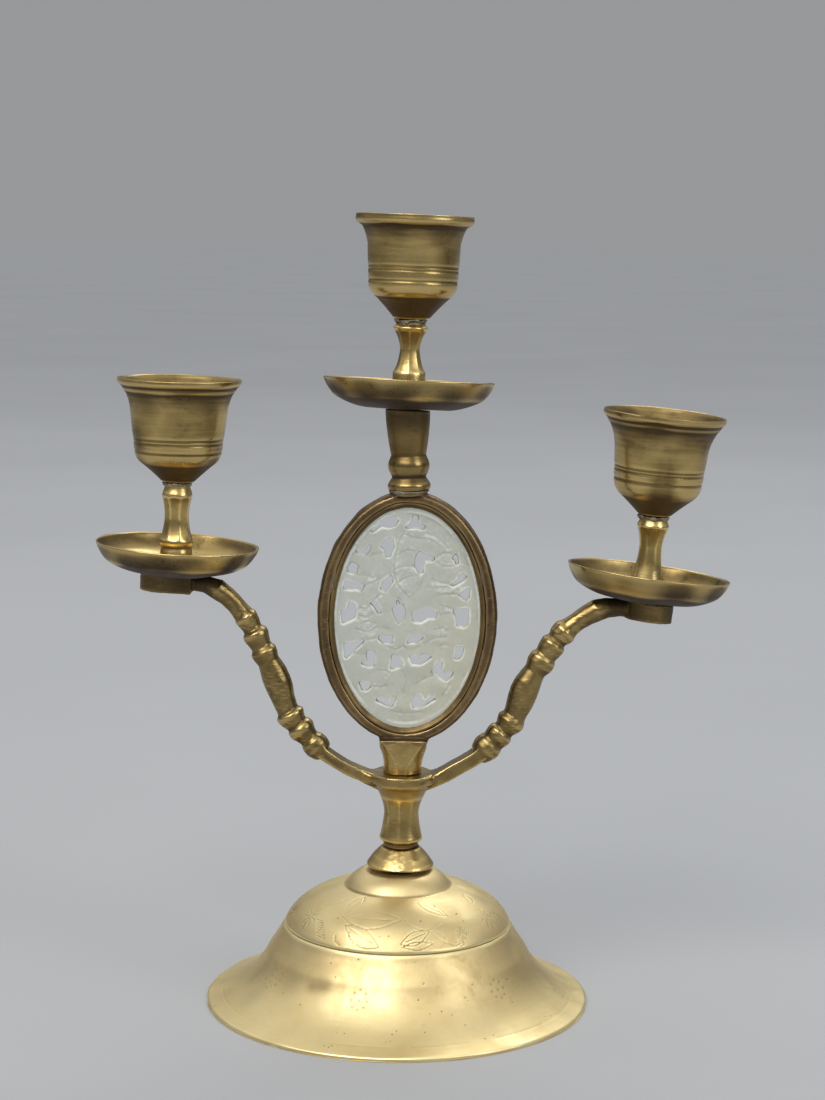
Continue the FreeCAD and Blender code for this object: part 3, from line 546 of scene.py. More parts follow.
def stone():
    """Pale carved jade: waxy and slightly see-through, yellower towards its lower right."""
    graph = Graph("carved_stone")
    wear_and_highlight = graph.mark("wear_and_highlight")
    dirt_and_shade = graph.mark("dirt_and_shade")
    low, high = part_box("jade_plaque")
    split = graph.tree.nodes.new("ShaderNodeSeparateXYZ")
    graph.fill(split.inputs[0], graph.place)
    across = graph.step(split.outputs["X"], low.x, high.x)
    down = graph.step(split.outputs["Z"], high.z, low.z)
    cloud = graph.noise(150.0, 5.0, 0.6, distortion=0.8)
    fibre = graph.noise(620.0, 4.0, 0.65)
    yellow = graph.total(graph.scaled(across, 0.45), graph.scaled(down, 0.45),
                         graph.scaled(graph.math("SUBTRACT", cloud, 0.5), 0.9))
    base = graph.mix(graph.step(yellow, 0.25, 1.05), (0.50, 0.52, 0.46), (0.53, 0.51, 0.39))
    base = graph.mix(graph.scaled(graph.step(cloud, 0.45, 0.7), 0.45), base, (0.60, 0.62, 0.57))
    base = graph.mix(graph.scaled(graph.step(fibre, 0.5, 0.72), 0.25), base, (0.38, 0.40, 0.34))
    base = graph.mix(graph.scaled(dirt_and_shade, 0.4), base, (0.24, 0.24, 0.19))
    # Painted highlight: the stone's raised rims and the edges of its holes are lightened.
    base = graph.mix(graph.scaled(wear_and_highlight, 0.6), base, (0.86, 0.88, 0.82))
    rough = graph.total(0.27, graph.scaled(graph.step(fibre, 0.35, 0.7), 0.18),
                        graph.scaled(dirt_and_shade, 0.15))
    normal = graph.bump(graph.total(cloud, graph.scaled(fibre, 0.5)), 0.35, 0.08 * MM)
    return graph.finish(Base_Color=base, Roughness=rough, Normal=normal, Subsurface_Weight=0.3,
                        Subsurface_Radius=(0.0022, 0.0026, 0.0016), Subsurface_Scale=1.0,
                        IOR=1.6, Coat_Weight=0.15, Coat_Roughness=0.12)


def white_metal(name, light, dark, gloss, brown_share=0.3):
    """Solder or steel: grey with darker and tarnished patches."""
    graph = Graph(name)
    dirt_and_shade = graph.mark("dirt_and_shade")
    cloud = graph.noise(320.0, 4.0, 0.6)
    grain = graph.noise(1500.0, 3.0, 0.6)
    colour = graph.mix(graph.step(cloud, 0.38, 0.62), light, dark)
    tarnish = graph.total(graph.scaled(graph.step(grain, 0.5, 0.7), brown_share), dirt_and_shade)
    colour = graph.mix(graph.math("MINIMUM", tarnish, 1.0), colour, (0.20, 0.15, 0.09))
    rough = graph.total(gloss, graph.scaled(cloud, 0.25))
    normal = graph.bump(graph.total(cloud, grain), 0.5, 0.06 * MM)
    return graph.finish(Base_Color=colour, Metallic=0.9, Roughness=rough, Normal=normal)


BROWN = (0.085, 0.055, 0.022)
DARK_BROWN = (0.055, 0.034, 0.017)
MATERIALS = {
    # Every brass paints shade on its downward-facing sides; some also paint light on their upper
    # sides.
    "dome": brass("dome_brass", (0.82, 0.65, 0.34), (0.64, 0.485, 0.225), BROWN,
                  patina_and_shade=0.35, brushed=0.15, gloss=0.40, top_light=0.3),
    "filed": brass("filed_brass", (0.66, 0.48, 0.19), (0.34, 0.24, 0.09), BROWN,
                   patina_and_shade=0.6, brushed=0.3, gloss=0.26, filed=0.9),
    "column": brass("column_brass", (0.60, 0.43, 0.165), (0.30, 0.21, 0.075), BROWN,
                    patina_and_shade=0.6, brushed=0.2, gloss=0.25, filed=0.5),
    "arm": brass("arm_brass", (0.42, 0.30, 0.118), (0.17, 0.12, 0.046), BROWN,
                 patina_and_shade=1.0, brushed=0.0, gloss=0.27, filed=0.5),
    # Painted shade: the neck's tones are darkened for the shadow of the middle pan above it.
    "neck": brass("neck_brass", (0.22, 0.15, 0.054), (0.085, 0.056, 0.022), DARK_BROWN,
                  patina_and_shade=1.0, brushed=0.2, gloss=0.28),
    # Strong painted shade under the pans, and painted light on their upper sides.
    "pan": brass("pan_brass", (0.42, 0.305, 0.12), (0.20, 0.14, 0.052), DARK_BROWN,
                 patina_and_shade=1.4, brushed=0.2, gloss=0.28, top_light=1.0),
    "stem": brass("stem_brass", (0.60, 0.44, 0.17), (0.30, 0.21, 0.075), BROWN,
                  patina_and_shade=0.7, brushed=0.2, gloss=0.26, filed=0.4),
    "cup": brass("cup_brass", (0.47, 0.34, 0.13), (0.16, 0.11, 0.04), BROWN,
                 patina_and_shade=1.3, brushed=0.6, gloss=0.28),
    "frame": brass("frame_brass", (0.21, 0.14, 0.066), (0.09, 0.058, 0.031), DARK_BROWN,
                   patina_and_shade=0.8, brushed=0.0, gloss=0.36, filed=0.6),
    "bezel": brass("bezel_brass", (0.27, 0.185, 0.08), (0.13, 0.085, 0.04), DARK_BROWN,
                   patina_and_shade=0.9, brushed=0.0, gloss=0.3),
    "jade": stone(),
    "solder": white_metal("grey_solder", (0.46, 0.45, 0.39), (0.22, 0.20, 0.155),
                          gloss=0.36, brown_share=0.5),
    "steel": white_metal("dull_steel", (0.38, 0.37, 0.35), (0.22, 0.21, 0.20),
                         gloss=0.36, brown_share=0.5),
}


# the turned pieces


BORE = 3.1 * MM
TURNED_REACH = 12
STEM_FLATS = {"left": 0.30 * MM, "middle": 0.14 * MM, "right": 0.18 * MM}
LIPS = {"left": 1.15 * MM, "middle": 1.7 * MM, "right": 1.25 * MM}


def handmade(seed, rings=0.003 * MM, wobble=0.05 * MM):
    """The lathe's fine uneven rings and a slight unevenness of the whole piece."""
    def shape(turn, run, points):
        spun = np.stack([run, 0.9 * MM * np.cos(turn), 0.9 * MM * np.sin(turn)], 1)
        fine = waves(spun, 0.45 * MM, seed)
        return rings * fine + wobble * waves(points, 9 * MM, seed + 1) - wobble
    return shape


def faceted(turn, count, depth, offset=0.0):
    """Flats filed along a turned piece, at most depth deep between their ridges."""
    half = math.pi / count
    across = (turn + offset) % (2 * half) - half
    ridge = 1 / math.cos(half) - 1
    return -depth * (1 - (1 / np.cos(across) - 1) / ridge)


def lipped(line, half_height):
    """A cup's line with its lip rounded into a bead of the given half height."""
    lip_zone = 8 * MM
    soft_rounds = 5
    radius, depth = line[:, 0], line[:, 1].max() - line[:, 1]
    before = np.arange(len(line)) < np.argmin(depth)
    high = depth < lip_zone
    outer = before if radius[before & high].mean() > radius[~before & high].mean() else ~before
    inward = 0.75 * half_height
    swell = np.sqrt(np.maximum(1 - (depth / half_height - 1) ** 2, 0))
    lip = outer & (depth < 2 * half_height)
    line = line.copy()
    line[lip, 0] = np.maximum(radius[lip], (radius.max() - inward + inward * swell)[lip])
    soft = line.copy()
    for _ in range(soft_rounds):
        soft[1:-1] = (soft[:-2] + 2 * soft[1:-1] + soft[2:]) / 4
    share = smooth(lip_zone - 0.5 * MM, lip_zone - 1.5 * MM, depth)
    return line + share[:, None] * (soft - line)


def turned_piece(node, axis, body, material, step, segments, shape, cap_radius=0.0,
                 reline=None, grime_and_shade=None, height=0.06 * MM):
    """A CAD node turned again about its axis, with a point about every step of its outline.

    reline(line) may rework the outline, and height is how far a worn edge stands out."""
    loop = outline(node, axis, cap_radius)
    lowest_inward = np.argmin(loop[:, 0] + 1e-3 * loop[:, 1])
    line = resampled(rotated_loop(loop, int(lowest_inward)), step)
    if reline is not None:
        line = reline(line)
    mesh = lathed(axis, line, segments, shape)
    mark_wear_and_shading(mesh, TURNED_REACH, height, grime_and_shade)
    return placed(mesh, f"{node}_turned", body, MATERIALS[material], [node])


def ring_axis(node):
    """The axis of a thin ring: the direction in which its points spread least."""
    points = np.unique(np.round(mesh_arrays(frame["nodes"][node].data)[0], 7), axis=0)
    centre = points.mean(0)
    direction = np.linalg.svd(points - centre, full_matrices=False)[2][-1]
    return Axis(centre, direction * np.sign(direction[2]))


def make_column():
    """The column and the cone under it, with painted shade where the two meet."""
    axis = joint_axis("column_swivel")
    stud_low, stud_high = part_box("tie_stud")
    bore = 0.55 * (stud_high.x - stud_low.x)
    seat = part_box("foot_cone")[1].z

    # Painted shade in the joint between the column and the cone.
    def recess_shade(points):
        below_top = smooth(seat + 1.3 * MM, seat + 0.8 * MM, points[:, 2])
        above_foot = smooth(seat - 0.6 * MM, seat - 0.1 * MM, points[:, 2])
        return 0.95 * below_top * above_foot

    def column_shape(turn, run, points):
        flats = smooth(9.5 * MM, 12 * MM, points[:, 2]) * smooth(27 * MM, 22 * MM, points[:, 2])
        return handmade(11)(turn, run, points) + faceted(turn, 9, 0.06 * MM, 0.3) * flats

    def cone_shape(turn, run, points):
        front = bell(np.angle(np.exp(1j * (turn + 0.5 * math.pi))), 0.55)
        rough = 0.05 * waves(points, 1.6 * MM, 21) + 0.015 * waves(points, 0.6 * MM, 22)
        return handmade(12)(turn, run, points) - (0.22 + rough) * MM * front

    turned_piece("column", axis, "upright", "column", 0.25 * MM, 130,
                 column_shape, bore, grime_and_shade=recess_shade)
    turned_piece("foot_cone", axis, "upright", "filed", 0.25 * MM, 180,
                 cone_shape, bore, grime_and_shade=recess_shade)


def make_neck():
    """The neck, whose top end is worked up to the tilted pan that it carries."""
    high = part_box("upper_neck")[1].z
    axis = ring_axis("neck_solder")

    def shaded(points):
        return 0.7 * smooth(high - 12 * MM, high - 1 * MM, points[:, 2])

    piece = turned_piece("upper_neck", axis, "upright", "neck", 0.25 * MM, 130,
                         handmade(15, wobble=0.03 * MM), BORE, grime_and_shade=shaded)
    seat_radius = 9 * MM
    clearance = 0.12 * MM
    pan_axis = joint_axis("middle_pan_spin")
    pan = pan_axis.local(mesh_arrays(frame["nodes"]["pan_middle"].data)[0])
    seat = pan[np.hypot(pan[:, 0], pan[:, 1]) < seat_radius, 2].min() - clearance
    local = axis.local(mesh_arrays(piece.data)[0])
    top = local[:, 2].max()
    ends = local * np.array([1, 1, 0]) + np.array([0, 0, top])
    gap = seat - pan_axis.local(axis.world(ends))[:, 2]
    local[:, 2] += gap * smooth(top - 4 * MM, top - 0.3 * MM, local[:, 2])
    put_points(piece.data, axis.world(local))


def make_cup(side, seed):
    """The cup, its stem and the loose pan under them."""
    screw = joint_axis(f"{side}_cup_screw")
    rim = screw.local(np.array([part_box(f"cup_{side}")[1]]))[0, 2]
    hollow = rim - 7.5 * MM

    def stem_shape(turn, run, points):
        flats = smooth(9 * MM, 13 * MM, points[:, 2]) * smooth(26 * MM, 23 * MM, points[:, 2])
        filed = faceted(turn, 8, STEM_FLATS[side], seed)
        return handmade(seed + 3)(turn, run, points) + filed * flats

    # Darker in a band about 7.5 mm under the rim, inside and out.
    def band_below_rim(points):
        return 0.5 * bell(screw.local(points)[:, 2] - hollow, 3.2 * MM)

    turned_piece(f"cup_{side}", screw, f"{side}_cup", "cup", 0.27 * MM, 170,
                 handmade(seed, rings=0.004 * MM, wobble=0.10 * MM),
                 reline=lambda line: lipped(line, LIPS[side]), grime_and_shade=band_below_rim)
    turned_piece(f"stem_{side}", screw, f"{side}_cup", "stem", 0.3 * MM, 96,
                 stem_shape)
    bead = worked_bead(f"solder_{side}", seed + 5)
    placed(bead, f"solder_{side}_beads", f"{side}_cup", MATERIALS["solder"],
           [f"solder_{side}"])
    turned_piece(f"pan_{side}", joint_axis(f"{side}_pan_spin"), f"{side}_pan",
                 "pan", 0.4 * MM, 210, handmade(seed + 7, wobble=0.12 * MM), height=0.12 * MM)


def worked_bead(node, seed):
    """A bead of solder with lumps in it."""
    mesh = remeshed([node], 0.2 * MM, 1)
    points, _ = mesh_arrays(mesh)
    lumps = 0.30 * waves(points, 1.9 * MM, seed) + 0.06 * waves(points, 0.8 * MM, seed + 1)
    worked(mesh, lumps * MM)
    mark_wear_and_shading(mesh, 8, 0.05 * MM)
    return mesh


# the foot


FOOT = Axis((0, 0, 0), (0, 0, 1))
GROOVE = (36.9 * MM, 25.7 * MM)
GROOVE_GRIME = 0.22 * MM
THIRDS = (0, 120, 240)
ROSETTE_RADIUS = 45
ROSETTE_TURNS = (-60, -15, 46, 103, 158, 214, 262)
ARC_RADIUS = 57.5
ARC_SPANS = ((-88, -36), (-28, 0), (5, 26), (33, 82), (96, 150), (158, 259))
PIT_COUNT = 14
STAIN = [(44, -37), (43.6, -31)]


def surface_points(line, places):
    """Places given as (radius in mm, degrees to the right of the front) on the outline."""
    places = np.array(places, float)
    order = np.argsort(line[:, 0])
    radius = places[:, 0] * MM
    height = np.interp(radius, line[order, 0], line[order, 1])
    angle = np.radians(places[:, 1] - 90)
    return np.stack([radius * np.cos(angle), radius * np.sin(angle), height], 1)


def leaf(radius, degrees, length, width, heading, veined=True):
    """A pointed leaf from its stalk, which heads so many degrees from straight outward."""
    along = length * np.linspace(0, 1, 13)
    across = 0.5 * width * np.sin(math.pi * along / length)
    outward, sideways = math.cos(math.radians(heading)), math.sin(math.radians(heading))

    def line(run, side):
        beside = np.degrees((run * sideways + side * outward) / radius)
        return np.stack([radius + run * outward - side * sideways, degrees + beside], 1)

    lines = [line(along, across), line(along, -across)]
    if veined:
        vein = along[2:11]
        lines.append(line(vein, np.zeros(len(vein))))
    return lines


def fan(radius, degrees, spread, count, inner, outer):
    """Short strokes that spread from a place like the petals of half a flower."""
    strokes = []
    for share in np.linspace(0, 1, count):
        angle = math.radians(spread[0] + (spread[1] - spread[0]) * share)
        away = np.array([math.cos(angle), math.sin(angle) * 180 / math.pi / radius])
        strokes.append(np.array([radius, degrees]) + np.outer([inner, outer], away))
    return strokes


def flower_group():
    """One third of the engraved band: leaves, a stem and a chrysanthemum, as mm and degrees."""
    strokes = []
    for row in range(7):
        start = 32.5 + 0.55 * row
        strokes.append(np.array([[start, row - 52], [start + 0.3, row - 46]]))
    strokes += leaf(28.5, -36, 10, 5, 175)
    strokes += leaf(29.5, -36, 20, 6.5, 93)
    strokes += leaf(32, -31, 13, 4, 71)
    strokes += leaf(35.5, 2, 10.5, 3, 105)
    strokes += leaf(36, 3, 10, 1.4, 92, veined=False)
    strokes += leaf(20.5, 18, 10, 3.5, 35)
    strokes += leaf(27, 64, 6, 2.5, 140, veined=False)
    for curl in ([(35, -34), (36, -33), (36.5, -30)], [(33.5, -27), (35, -26), (36, -23)],
                 [(28, 4), (31, 9), (32.5, 17), (30.5, 27)], [(33, 19), (35, 23), (36.5, 30)],
                 [(33, 21), (34, 25), (35.5, 27)]):
        strokes.append(curved(curl))
    strokes += fan(36, 37, (120, 300), 17, 1.6, 3.6)
    strokes += fan(36, 37, (120, 300), 9, 0.5, 1.1)
    strokes += fan(32.5, 61, (0, 360), 10, 0.7, 3.3)
    return strokes


def rosette(radius, degrees):
    """Centres of a punched ring of dots about a middle one."""
    dots = [(radius, degrees)]
    for step in range(8):
        angle = step * math.pi / 4
        dots.append((radius + 1.7 * math.cos(angle),
                     degrees + math.degrees(2.6 * math.sin(angle) / radius)))
    return dots


def foot_outlines():
    """What shows and what is hidden of the crown, then of the flare.

    The two closed pieces meet under the groove round the crown."""
    loop = outline("base_dome", FOOT, BORE)
    around = rotated_loop(loop, int(np.argmin(loop[:, 0] - loop[:, 1])))
    split = nearest(around, *GROOVE)
    rim = int(np.argmax(around[:, 0]))
    inner = nearest(around[:rim], *around[split])
    flare, crown = around[rim:split + 1], around[split:]
    under_crown = np.vstack([around[:inner + 1], around[split:split + 1]])
    under_flare = np.vstack([around[split:split + 1], around[inner:rim + 1]])
    return (crown, under_crown), (flare, under_flare)


def gap_from(groove):
    """How far points are from a groove round the foot, given as its radius and height."""
    def gap(points):
        radius = np.hypot(points[:, 0], points[:, 1])
        return np.hypot(radius - groove[0], points[:, 2] - groove[1])
    return gap


def joined(gap):
    """0 at the groove that parts the two pieces, 1 away from it."""
    return smooth(0, 3 * MM, gap)


def crown_work(crown, gap):
    """The crown's shape and its dark marks: the engraved band."""
    width = 0.2 * MM
    group = flower_group()
    strokes = [surface_points(crown, stroke + np.array([0, turn]))
               for turn in THIRDS for stroke in group]

    def shape(turn, run, points):
        made = handmade(31, rings=0.002 * MM, wobble=0.06 * MM)(turn, run, points)
        return made * joined(gap(points)) - 0.09 * MM * engraving(points, strokes, width)

    def grime_and_shade(points):
        lines = 0.85 * engraving(points, strokes, width)
        return np.maximum(lines, 0.9 * bell(gap(points), GROOVE_GRIME))
    return shape, grime_and_shade


def flare_work(flare, gap):
    """The flare's shape and its dark marks: punched rosettes, arcs near the rim, pits and a stain.
    """
    dots = [surface_points(flare, [dot, dot])
            for degrees in ROSETTE_TURNS for dot in rosette(ROSETTE_RADIUS, degrees)]
    arcs = [surface_points(flare, [(ARC_RADIUS, degree) for degree in range(first, last, 3)])
            for first, last in ARC_SPANS]
    chance = np.random.default_rng(37)
    pits = [surface_points(flare, [pit, pit])
            for pit in zip(chance.uniform(41, 57, PIT_COUNT),
                           chance.uniform(-90, 270, PIT_COUNT))]
    stain = surface_points(flare, STAIN)

    def shape(turn, run, points):
        cut = (1.3 * engraving(points, dots, 0.4 * MM) + engraving(points, arcs, 0.24 * MM)
               + 1.5 * engraving(points, pits, 0.35 * MM))
        made = handmade(35, rings=0.0025 * MM, wobble=0.09 * MM)(turn, run, points)
        return made * joined(gap(points)) - 0.08 * MM * cut

    def grime_and_shade(points):
        marks = 0.7 * engraving(points, dots, 0.36 * MM) + 0.7 * engraving(points, arcs, 0.22 * MM)
        marks = marks + 0.9 * engraving(points, pits, 0.3 * MM)
        marks = marks + 0.4 * engraving(points, [stain], 2.2 * MM)
        return np.maximum(marks, 0.9 * bell(gap(points), GROOVE_GRIME))
    return shape, grime_and_shade


def foot_piece(name, line, segments, shape, grime_and_shade):
    mesh = lathed(FOOT, line, segments, shape)
    mark_wear_and_shading(mesh, 10, 0.14 * MM, grime_and_shade)
    placed(mesh, f"foot_{name}", "foot", MATERIALS["dome"], ["base_dome"])


def make_foot():
    (crown, under_crown), (flare, under_flare) = foot_outlines()
    gap = gap_from(crown[0])
    foot_piece("crown", two_steps(crown, under_crown, 0.38 * MM, 1.8 * MM), 700,
               *crown_work(crown, gap))
    foot_piece("flare", two_steps(flare, under_flare, 0.4 * MM, 1.6 * MM), 660,
               *flare_work(flare, gap))


# the cast and filed pieces


LEAN = joint_axis("column_swivel")
MELT_ROUNDS = 50


def cast(nodes, name, body, material, voxel, stand, reach=12, melt=None, grime_and_shade=None,
         bridges=(), height=0.12 * MM):
    """CAD solids with a cast or filed skin. stand(points) is how far it stands out, metres.

    melt(points) is how far the corners have flowed together there, from 0 to 1."""
    mesh = remeshed(nodes, voxel, 3, bridges)
    points, edges = mesh_arrays(mesh)
    if melt is not None:
        share = melt(points)[:, None]
        for _ in range(MELT_ROUNDS):
            points = points + 0.5 * share * (neighbour_mean(points, edges, len(points)) - points)
        put_points(mesh, points)
    worked(mesh, stand(points))
    mark_wear_and_shading(mesh, reach, height, grime_and_shade)
    return placed(mesh, name, body, MATERIALS[material], nodes)


def rough_cast(seed, lumps, file_marks):
    """Uneven cast metal: broad lumps, finer ones on them, and short marks left by a file."""
    def stand(points):
        short = points * np.array([1.0, 1.0, 4.0])
        return (lumps * (waves(points, 4.5 * MM, seed) - 0.6)
                + 0.25 * lumps * waves(points, 1.6 * MM, seed + 1)
                + file_marks * waves(short, 1.4 * MM, seed + 2))
    return stand


def arm_web(side, sign):
    """Corners of the braze that fills the angle between an arm and the hub."""
    bar = LEAN.local(mesh_arrays(frame["nodes"][f"arm_{side}"].data)[0])
    hub = LEAN.local(mesh_arrays(frame["nodes"]["arm_hub"].data)[0])
    bar = bar[sign * bar[:, 0] < 14.5 * MM]
    hub = hub[(sign * hub[:, 0] > 6.5 * MM) & (np.abs(hub[:, 1]) < 5 * MM)]
    foot = np.array([[sign * 6.4 * MM, across * 1.6 * MM, hub[:, 2].min() - 3.6 * MM]
                     for across in (-1, 1)])
    return LEAN.world(np.vstack([bar, hub, foot]))


def make_arms():
    """Both arms and the hub that they are brazed to, which together are one skin."""
    hub_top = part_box("arm_hub")[1].z
    seats = [np.array(JOINTS[f"{side}_pan_spin"]["pos_m"]) for side in ("left", "right")]

    def melt(points):
        beside = bell(np.abs(LEAN.local(points)[:, 0]) - 10.3 * MM, 2.4 * MM)
        return 0.9 * beside * smooth(hub_top + 14 * MM, hub_top + 8 * MM, points[:, 2])

    # Painted shade under the pans: darker close to each pan seat.
    def grime_and_shade(points):
        near = [smooth(17 * MM, 11 * MM, np.linalg.norm(points - seat, axis=1)) for seat in seats]
        return 0.85 * (near[0] + near[1])

    cast(["arm_left", "arm_right", "arm_hub"], "arms_brazed", "upright", "arm",
         0.34 * MM, rough_cast(51, lumps=0.06 * MM, file_marks=0.018 * MM), melt=melt,
         grime_and_shade=grime_and_shade, bridges=[arm_web("left", -1), arm_web("right", 1)])
    cast(["lower_neck"], "lower_neck_filed", "upright", "filed", 0.25 * MM,
         rough_cast(75, lumps=0.12 * MM, file_marks=0.02 * MM))


def medallion_place(points):
    """Places across and up the medallion from its middle, in mm."""
    flat = (points - box_centre("jade_plaque")) @ LEAN.turn
    return np.stack([flat[:, 0], flat[:, 2]], 1) / MM


def saddle_web():
    """Corners of the metal that joins the medallion's band to the neck that cradles it."""
    band = LEAN.local(mesh_arrays(frame["nodes"]["medallion_frame"].data)[0])
    saddle = LEAN.local(mesh_arrays(frame["nodes"]["lower_neck"].data)[0])
    low = band[:, 2].min()
    band = band[(np.abs(band[:, 0]) < 8.6 * MM) & (band[:, 2] < low + 2.0 * MM)]
    saddle = saddle[saddle[:, 2] > low - 0.5 * MM]
    return LEAN.world(np.vstack([band, saddle]))


def make_frame():
    """The medallion's band with a brazed seam at its left, the inner wire and the solder."""
    seam = np.array([[-27.5, -1.2], [-26.4, -1.0], [-25.2, -1.35], [-24.0, -1.1]])

    def stand(points):
        cut = engraving(medallion_place(points), [seam], 0.25)
        return rough_cast(81, lumps=0.09 * MM, file_marks=0.02 * MM)(points) - 0.2 * MM * cut

    cast(["medallion_frame"], "medallion_frame_cast", "upright", "frame",
         0.34 * MM, stand, bridges=[saddle_web()])
    cast(["front_bezel"], "front_bezel_wire", "upright", "bezel", 0.2 * MM,
         rough_cast(85, lumps=0.04 * MM, file_marks=0.0), reach=8)
    cast(["neck_solder"], "neck_solder_beads", "upright", "solder", 0.2 * MM,
         rough_cast(88, lumps=0.3 * MM, file_marks=0.05 * MM), reach=8)


# Lines cut into the stone's front, in mm across and up from its middle.
CARVING = [
    [(-1.5, 28.3), (-3.2, 25), (-4.2, 20), (-4.6, 15.5), (-3.6, 11.5), (-1.5, 8.8), (0.5, 6.8)],
    [(6, 10.4), (9, 10.2), (12.5, 10.7)],
    [(5.6, 28), (9.5, 26.5), (12.6, 23.5)],
    [(9, 20.2), (11, 21.5), (14, 21.6)],
    [(7.5, 13), (10, 12.2), (13, 11.6)],
    [(10.3, 8), (13, 8.3), (16, 8.3)],
    [(10.2, 4.5), (13, 4), (15, 3.3)],
    [(10.6, 1.4), (13, 1.8), (15, 2)],
    [(9, -3.4), (11.5, -2.9), (13, -3.6)],
    [(10.8, -8.9), (12, -8.4), (13.4, -8.5)],
    [(3.2, -21.5), (5.5, -20), (8.2, -18.8)],
    [(12, -25), (13.2, -23), (14, -21.6)],
    [(-5, -30.6), (0, -31.3), (5, -30.7)],
    [(-14, -1.6), (-12.4, -1.2), (-10.6, -1.8)],
    [(-13.4, -7.3), (-11.8, -7), (-10, -6.6)],
    [(-17.4, -11.6), (-15.5, -12.2), (-13.6, -12.2)],
    [(-16, 13.7), (-13.5, 13.6), (-11.5, 13.1)],
    [(-13.6, 10.6), (-11, 11.8), (-9.4, 12.7)],
    [(-15.4, 3.3), (-13.7, 2.9), (-12.4, 3.7)],
    [(-15.4, 0.6), (-13.2, 0.2), (-11.4, 1.2)],
    [(-10.6, 6.2), (-9.2, 7.4), (-7.8, 7.7)],
    [(-12.3, 20.2), (-10.4, 20.6), (-8.5, 21.1)],
    [(-10.2, -22.5), (-8.2, -22.7), (-6.4, -22.3)],
    [(-9, -17.2), (-6.6, -17.3), (-4.9, -18.2)],
    [(-1.7, 27.6), (2.5, 26.2), (6.5, 25.9), (9.8, 24)],
    [(-3.9, 20.5), (-0.8, 22.2), (2.2, 22)],
    [(-4.4, 16), (-1.6, 17), (2, 17)],
    [(-3.4, 11.6), (-0.4, 13.4), (3.2, 14.3)],
    [(0.6, 7), (3.4, 9.6), (5.2, 14)],
    [(9, 18.6), (11.5, 17.4), (14.6, 17.5)],
    [(-6.2, -9.4), (-3.5, -10.3), (-1.2, -9.2), (1, -10.4), (4, -9.3)],
    [(-1.4, -17), (0, -20), (-0.6, -24.5)],
    [(5.6, -8.4), (8.6, -6.4), (12.4, -5.8)],
    [(-16.2, -3.8), (-12.6, -4.6), (-9.8, -3.2), (-6.2, -3.8)],
    [(-20.2, 20), (-17.6, 24.4), (-14.2, 28.2)],
    [(14.2, 27.6), (17.4, 23), (19.4, 18)],
]


def make_stone():
    """The plaque with a raised rim and the petals, leaves and stems cut into its front."""
    low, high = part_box("jade_plaque")
    half = np.array([high.x - low.x, high.z - low.z]) / 2 / MM
    strokes = [curved(stroke, 8) for stroke in CARVING]

    def stand(points):
        place = medallion_place(points)
        front = smooth(0.3 * MM, -0.9 * MM, points[:, 1])
        inside = smooth(0.925, 0.895, np.hypot(*(place / half).T))
        cut = engraving(place, strokes, 0.4)
        soft = engraving(place, strokes, 1.6)
        flat = points * np.array([1.0, 0.0, 1.0])
        swell = waves(flat, 4.2 * MM, 91)
        carved = -0.16 * inside - 0.11 * cut - 0.12 * soft + 0.12 * swell * inside
        return front * (carved - 0.03) * MM + 0.015 * MM * waves(points, 1.2 * MM, 92)

    cast(["jade_plaque"], "carved_stone", "upright", "jade", 0.3 * MM, stand, reach=8,
         height=0.07 * MM)


def paint_cad():
    """Fasteners and the hidden ring keep their CAD shapes."""
    kinds = {"back_ring": "bezel", "tie_stud": "steel", "base_washer": "steel",
             "base_nut": "steel"}
    kinds.update({f"stud_{side}": "steel" for side in SIDES})
    for node, kind in kinds.items():
        mesh = frame["nodes"][node].data
        mesh.materials.clear()
        mesh.materials.append(MATERIALS[kind])


# the room


FLOOR_REACH = 30.0
FLOOR_DROP = -0.02 * MM
HORIZON_LIGHT = 0.07
OVERHEAD_LIGHT = 1.1
SEEN_GREY = 0.325
LAMP_AIM = (0.0, 0.0, 0.12)
CAMERA_PLACE = (0.00365, -0.742, 0.2515)
CAMERA_PITCH = math.radians(7.86)
CAMERA_ROLL = math.radians(0.61)
CAMERA_LENS = 76.03
CAMERA_SENSOR = 36.0


def floor_material():
    graph = Graph("pale_floor")
    cloud = graph.noise(2.2, 3.0)
    grain = graph.noise(900.0, 3.0)
    colour = graph.mix(graph.step(cloud, 0.3, 0.7), (0.40, 0.405, 0.41), (0.38, 0.385, 0.39))
    normal = graph.bump(grain, 0.08, 0.1 * MM)
    return graph.finish(Base_Color=colour, Roughness=0.75, Normal=normal)


def make_floor():
    mesh = bpy.data.meshes.new("floor")
    corners = [(across * FLOOR_REACH, back * FLOOR_REACH, FLOOR_DROP)
               for across, back in ((-1, -1), (1, -1), (1, 1), (-1, 1))]
    mesh.from_pydata(corners, [], [(0, 1, 2, 3)])
    mesh.materials.append(floor_material())
    floor = bpy.data.objects.new("floor", mesh)
    bpy.context.scene.collection.objects.link(floor)


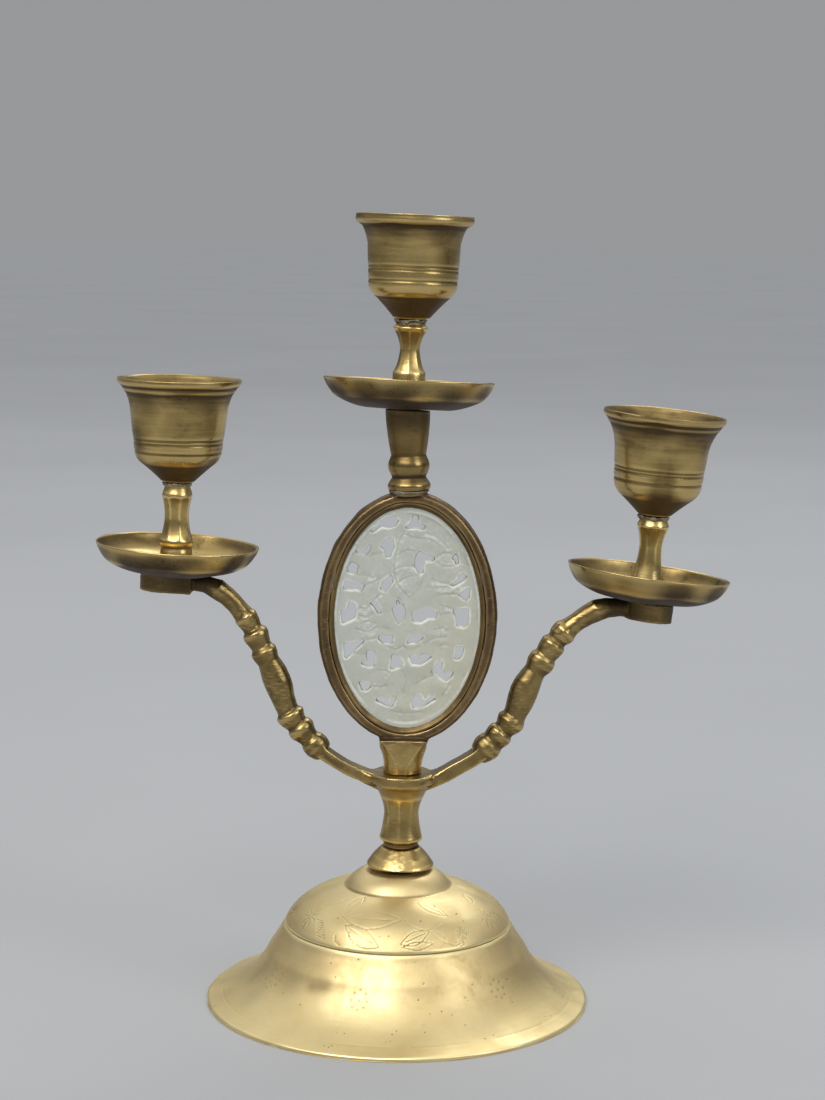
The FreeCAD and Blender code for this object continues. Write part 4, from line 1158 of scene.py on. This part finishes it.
def make_world():
    """Even grey to the eye, and a soft light that grows from the horizon to overhead."""
    world = bpy.data.worlds.new("studio")
    world.use_nodes = True
    tree = world.node_tree
    sky = tree.nodes["Background"]
    sky.inputs["Color"].default_value = (0.95, 0.97, 1.0, 1.0)
    place = tree.nodes.new("ShaderNodeTexCoord")
    split = tree.nodes.new("ShaderNodeSeparateXYZ")
    rise = tree.nodes.new("ShaderNodeMapRange")
    path = tree.nodes.new("ShaderNodeLightPath")
    choice = tree.nodes.new("ShaderNodeMix")
    tree.links.new(place.outputs["Generated"], split.inputs[0])
    tree.links.new(split.outputs["Z"], rise.inputs["Value"])
    rise.inputs["To Min"].default_value = HORIZON_LIGHT
    rise.inputs["To Max"].default_value = OVERHEAD_LIGHT
    tree.links.new(path.outputs["Is Camera Ray"], choice.inputs[0])
    tree.links.new(rise.outputs[0], choice.inputs[2])
    choice.inputs[3].default_value = SEEN_GREY
    tree.links.new(choice.outputs[0], sky.inputs["Strength"])
    bpy.context.scene.world = world
    bpy.context.scene.view_settings.view_transform = "Standard"


def make_light(name, place, size, power, colour):
    lamp = bpy.data.lights.new(name, "AREA")
    lamp.shape = "RECTANGLE"
    lamp.size, lamp.size_y = size
    lamp.energy = power
    lamp.color = colour
    holder = bpy.data.objects.new(name, lamp)
    holder.location = place
    holder.rotation_mode = "QUATERNION"
    holder.rotation_quaternion = (Vector(LAMP_AIM) - Vector(place)).to_track_quat("-Z", "Y")
    bpy.context.scene.collection.objects.link(holder)


def make_camera():
    """The camera that took the photograph, which leans forward and a little to one side."""
    ahead = Vector((0, math.cos(CAMERA_PITCH), -math.sin(CAMERA_PITCH)))
    right = Vector((1, 0, 0))
    up = right.cross(ahead)
    across = math.cos(CAMERA_ROLL) * right + math.sin(CAMERA_ROLL) * up
    above = -math.sin(CAMERA_ROLL) * right + math.cos(CAMERA_ROLL) * up
    lens = bpy.data.cameras.new("camera")
    lens.lens = CAMERA_LENS
    lens.sensor_width = CAMERA_SENSOR
    lens.clip_start = 0.01
    camera = bpy.data.objects.new("camera", lens)
    turn = Matrix((across, above, -ahead)).transposed().to_4x4()
    camera.matrix_world = Matrix.Translation(CAMERA_PLACE) @ turn
    bpy.context.scene.collection.objects.link(camera)
    bpy.context.scene.camera = camera


def main():
    make_column()
    make_neck()
    for side, seed in zip(SIDES, (101, 121, 141)):
        make_cup(side, seed)
    make_foot()
    make_arms()
    make_frame()
    make_stone()
    paint_cad()
    make_floor()
    make_world()
    make_light("key", (-0.8, -1.4, 1.7), size=(1.8, 1.1), power=26.0, colour=(1.0, 0.98, 0.95))
    make_light("fill", (1.5, -1.0, 1.0), size=(0.9, 1.0), power=8.0, colour=(0.93, 0.96, 1.0))
    make_light("back", (0.4, 1.5, 1.8), size=(1.2, 0.6), power=8.0, colour=(0.95, 0.97, 1.0))
    make_camera()


main()
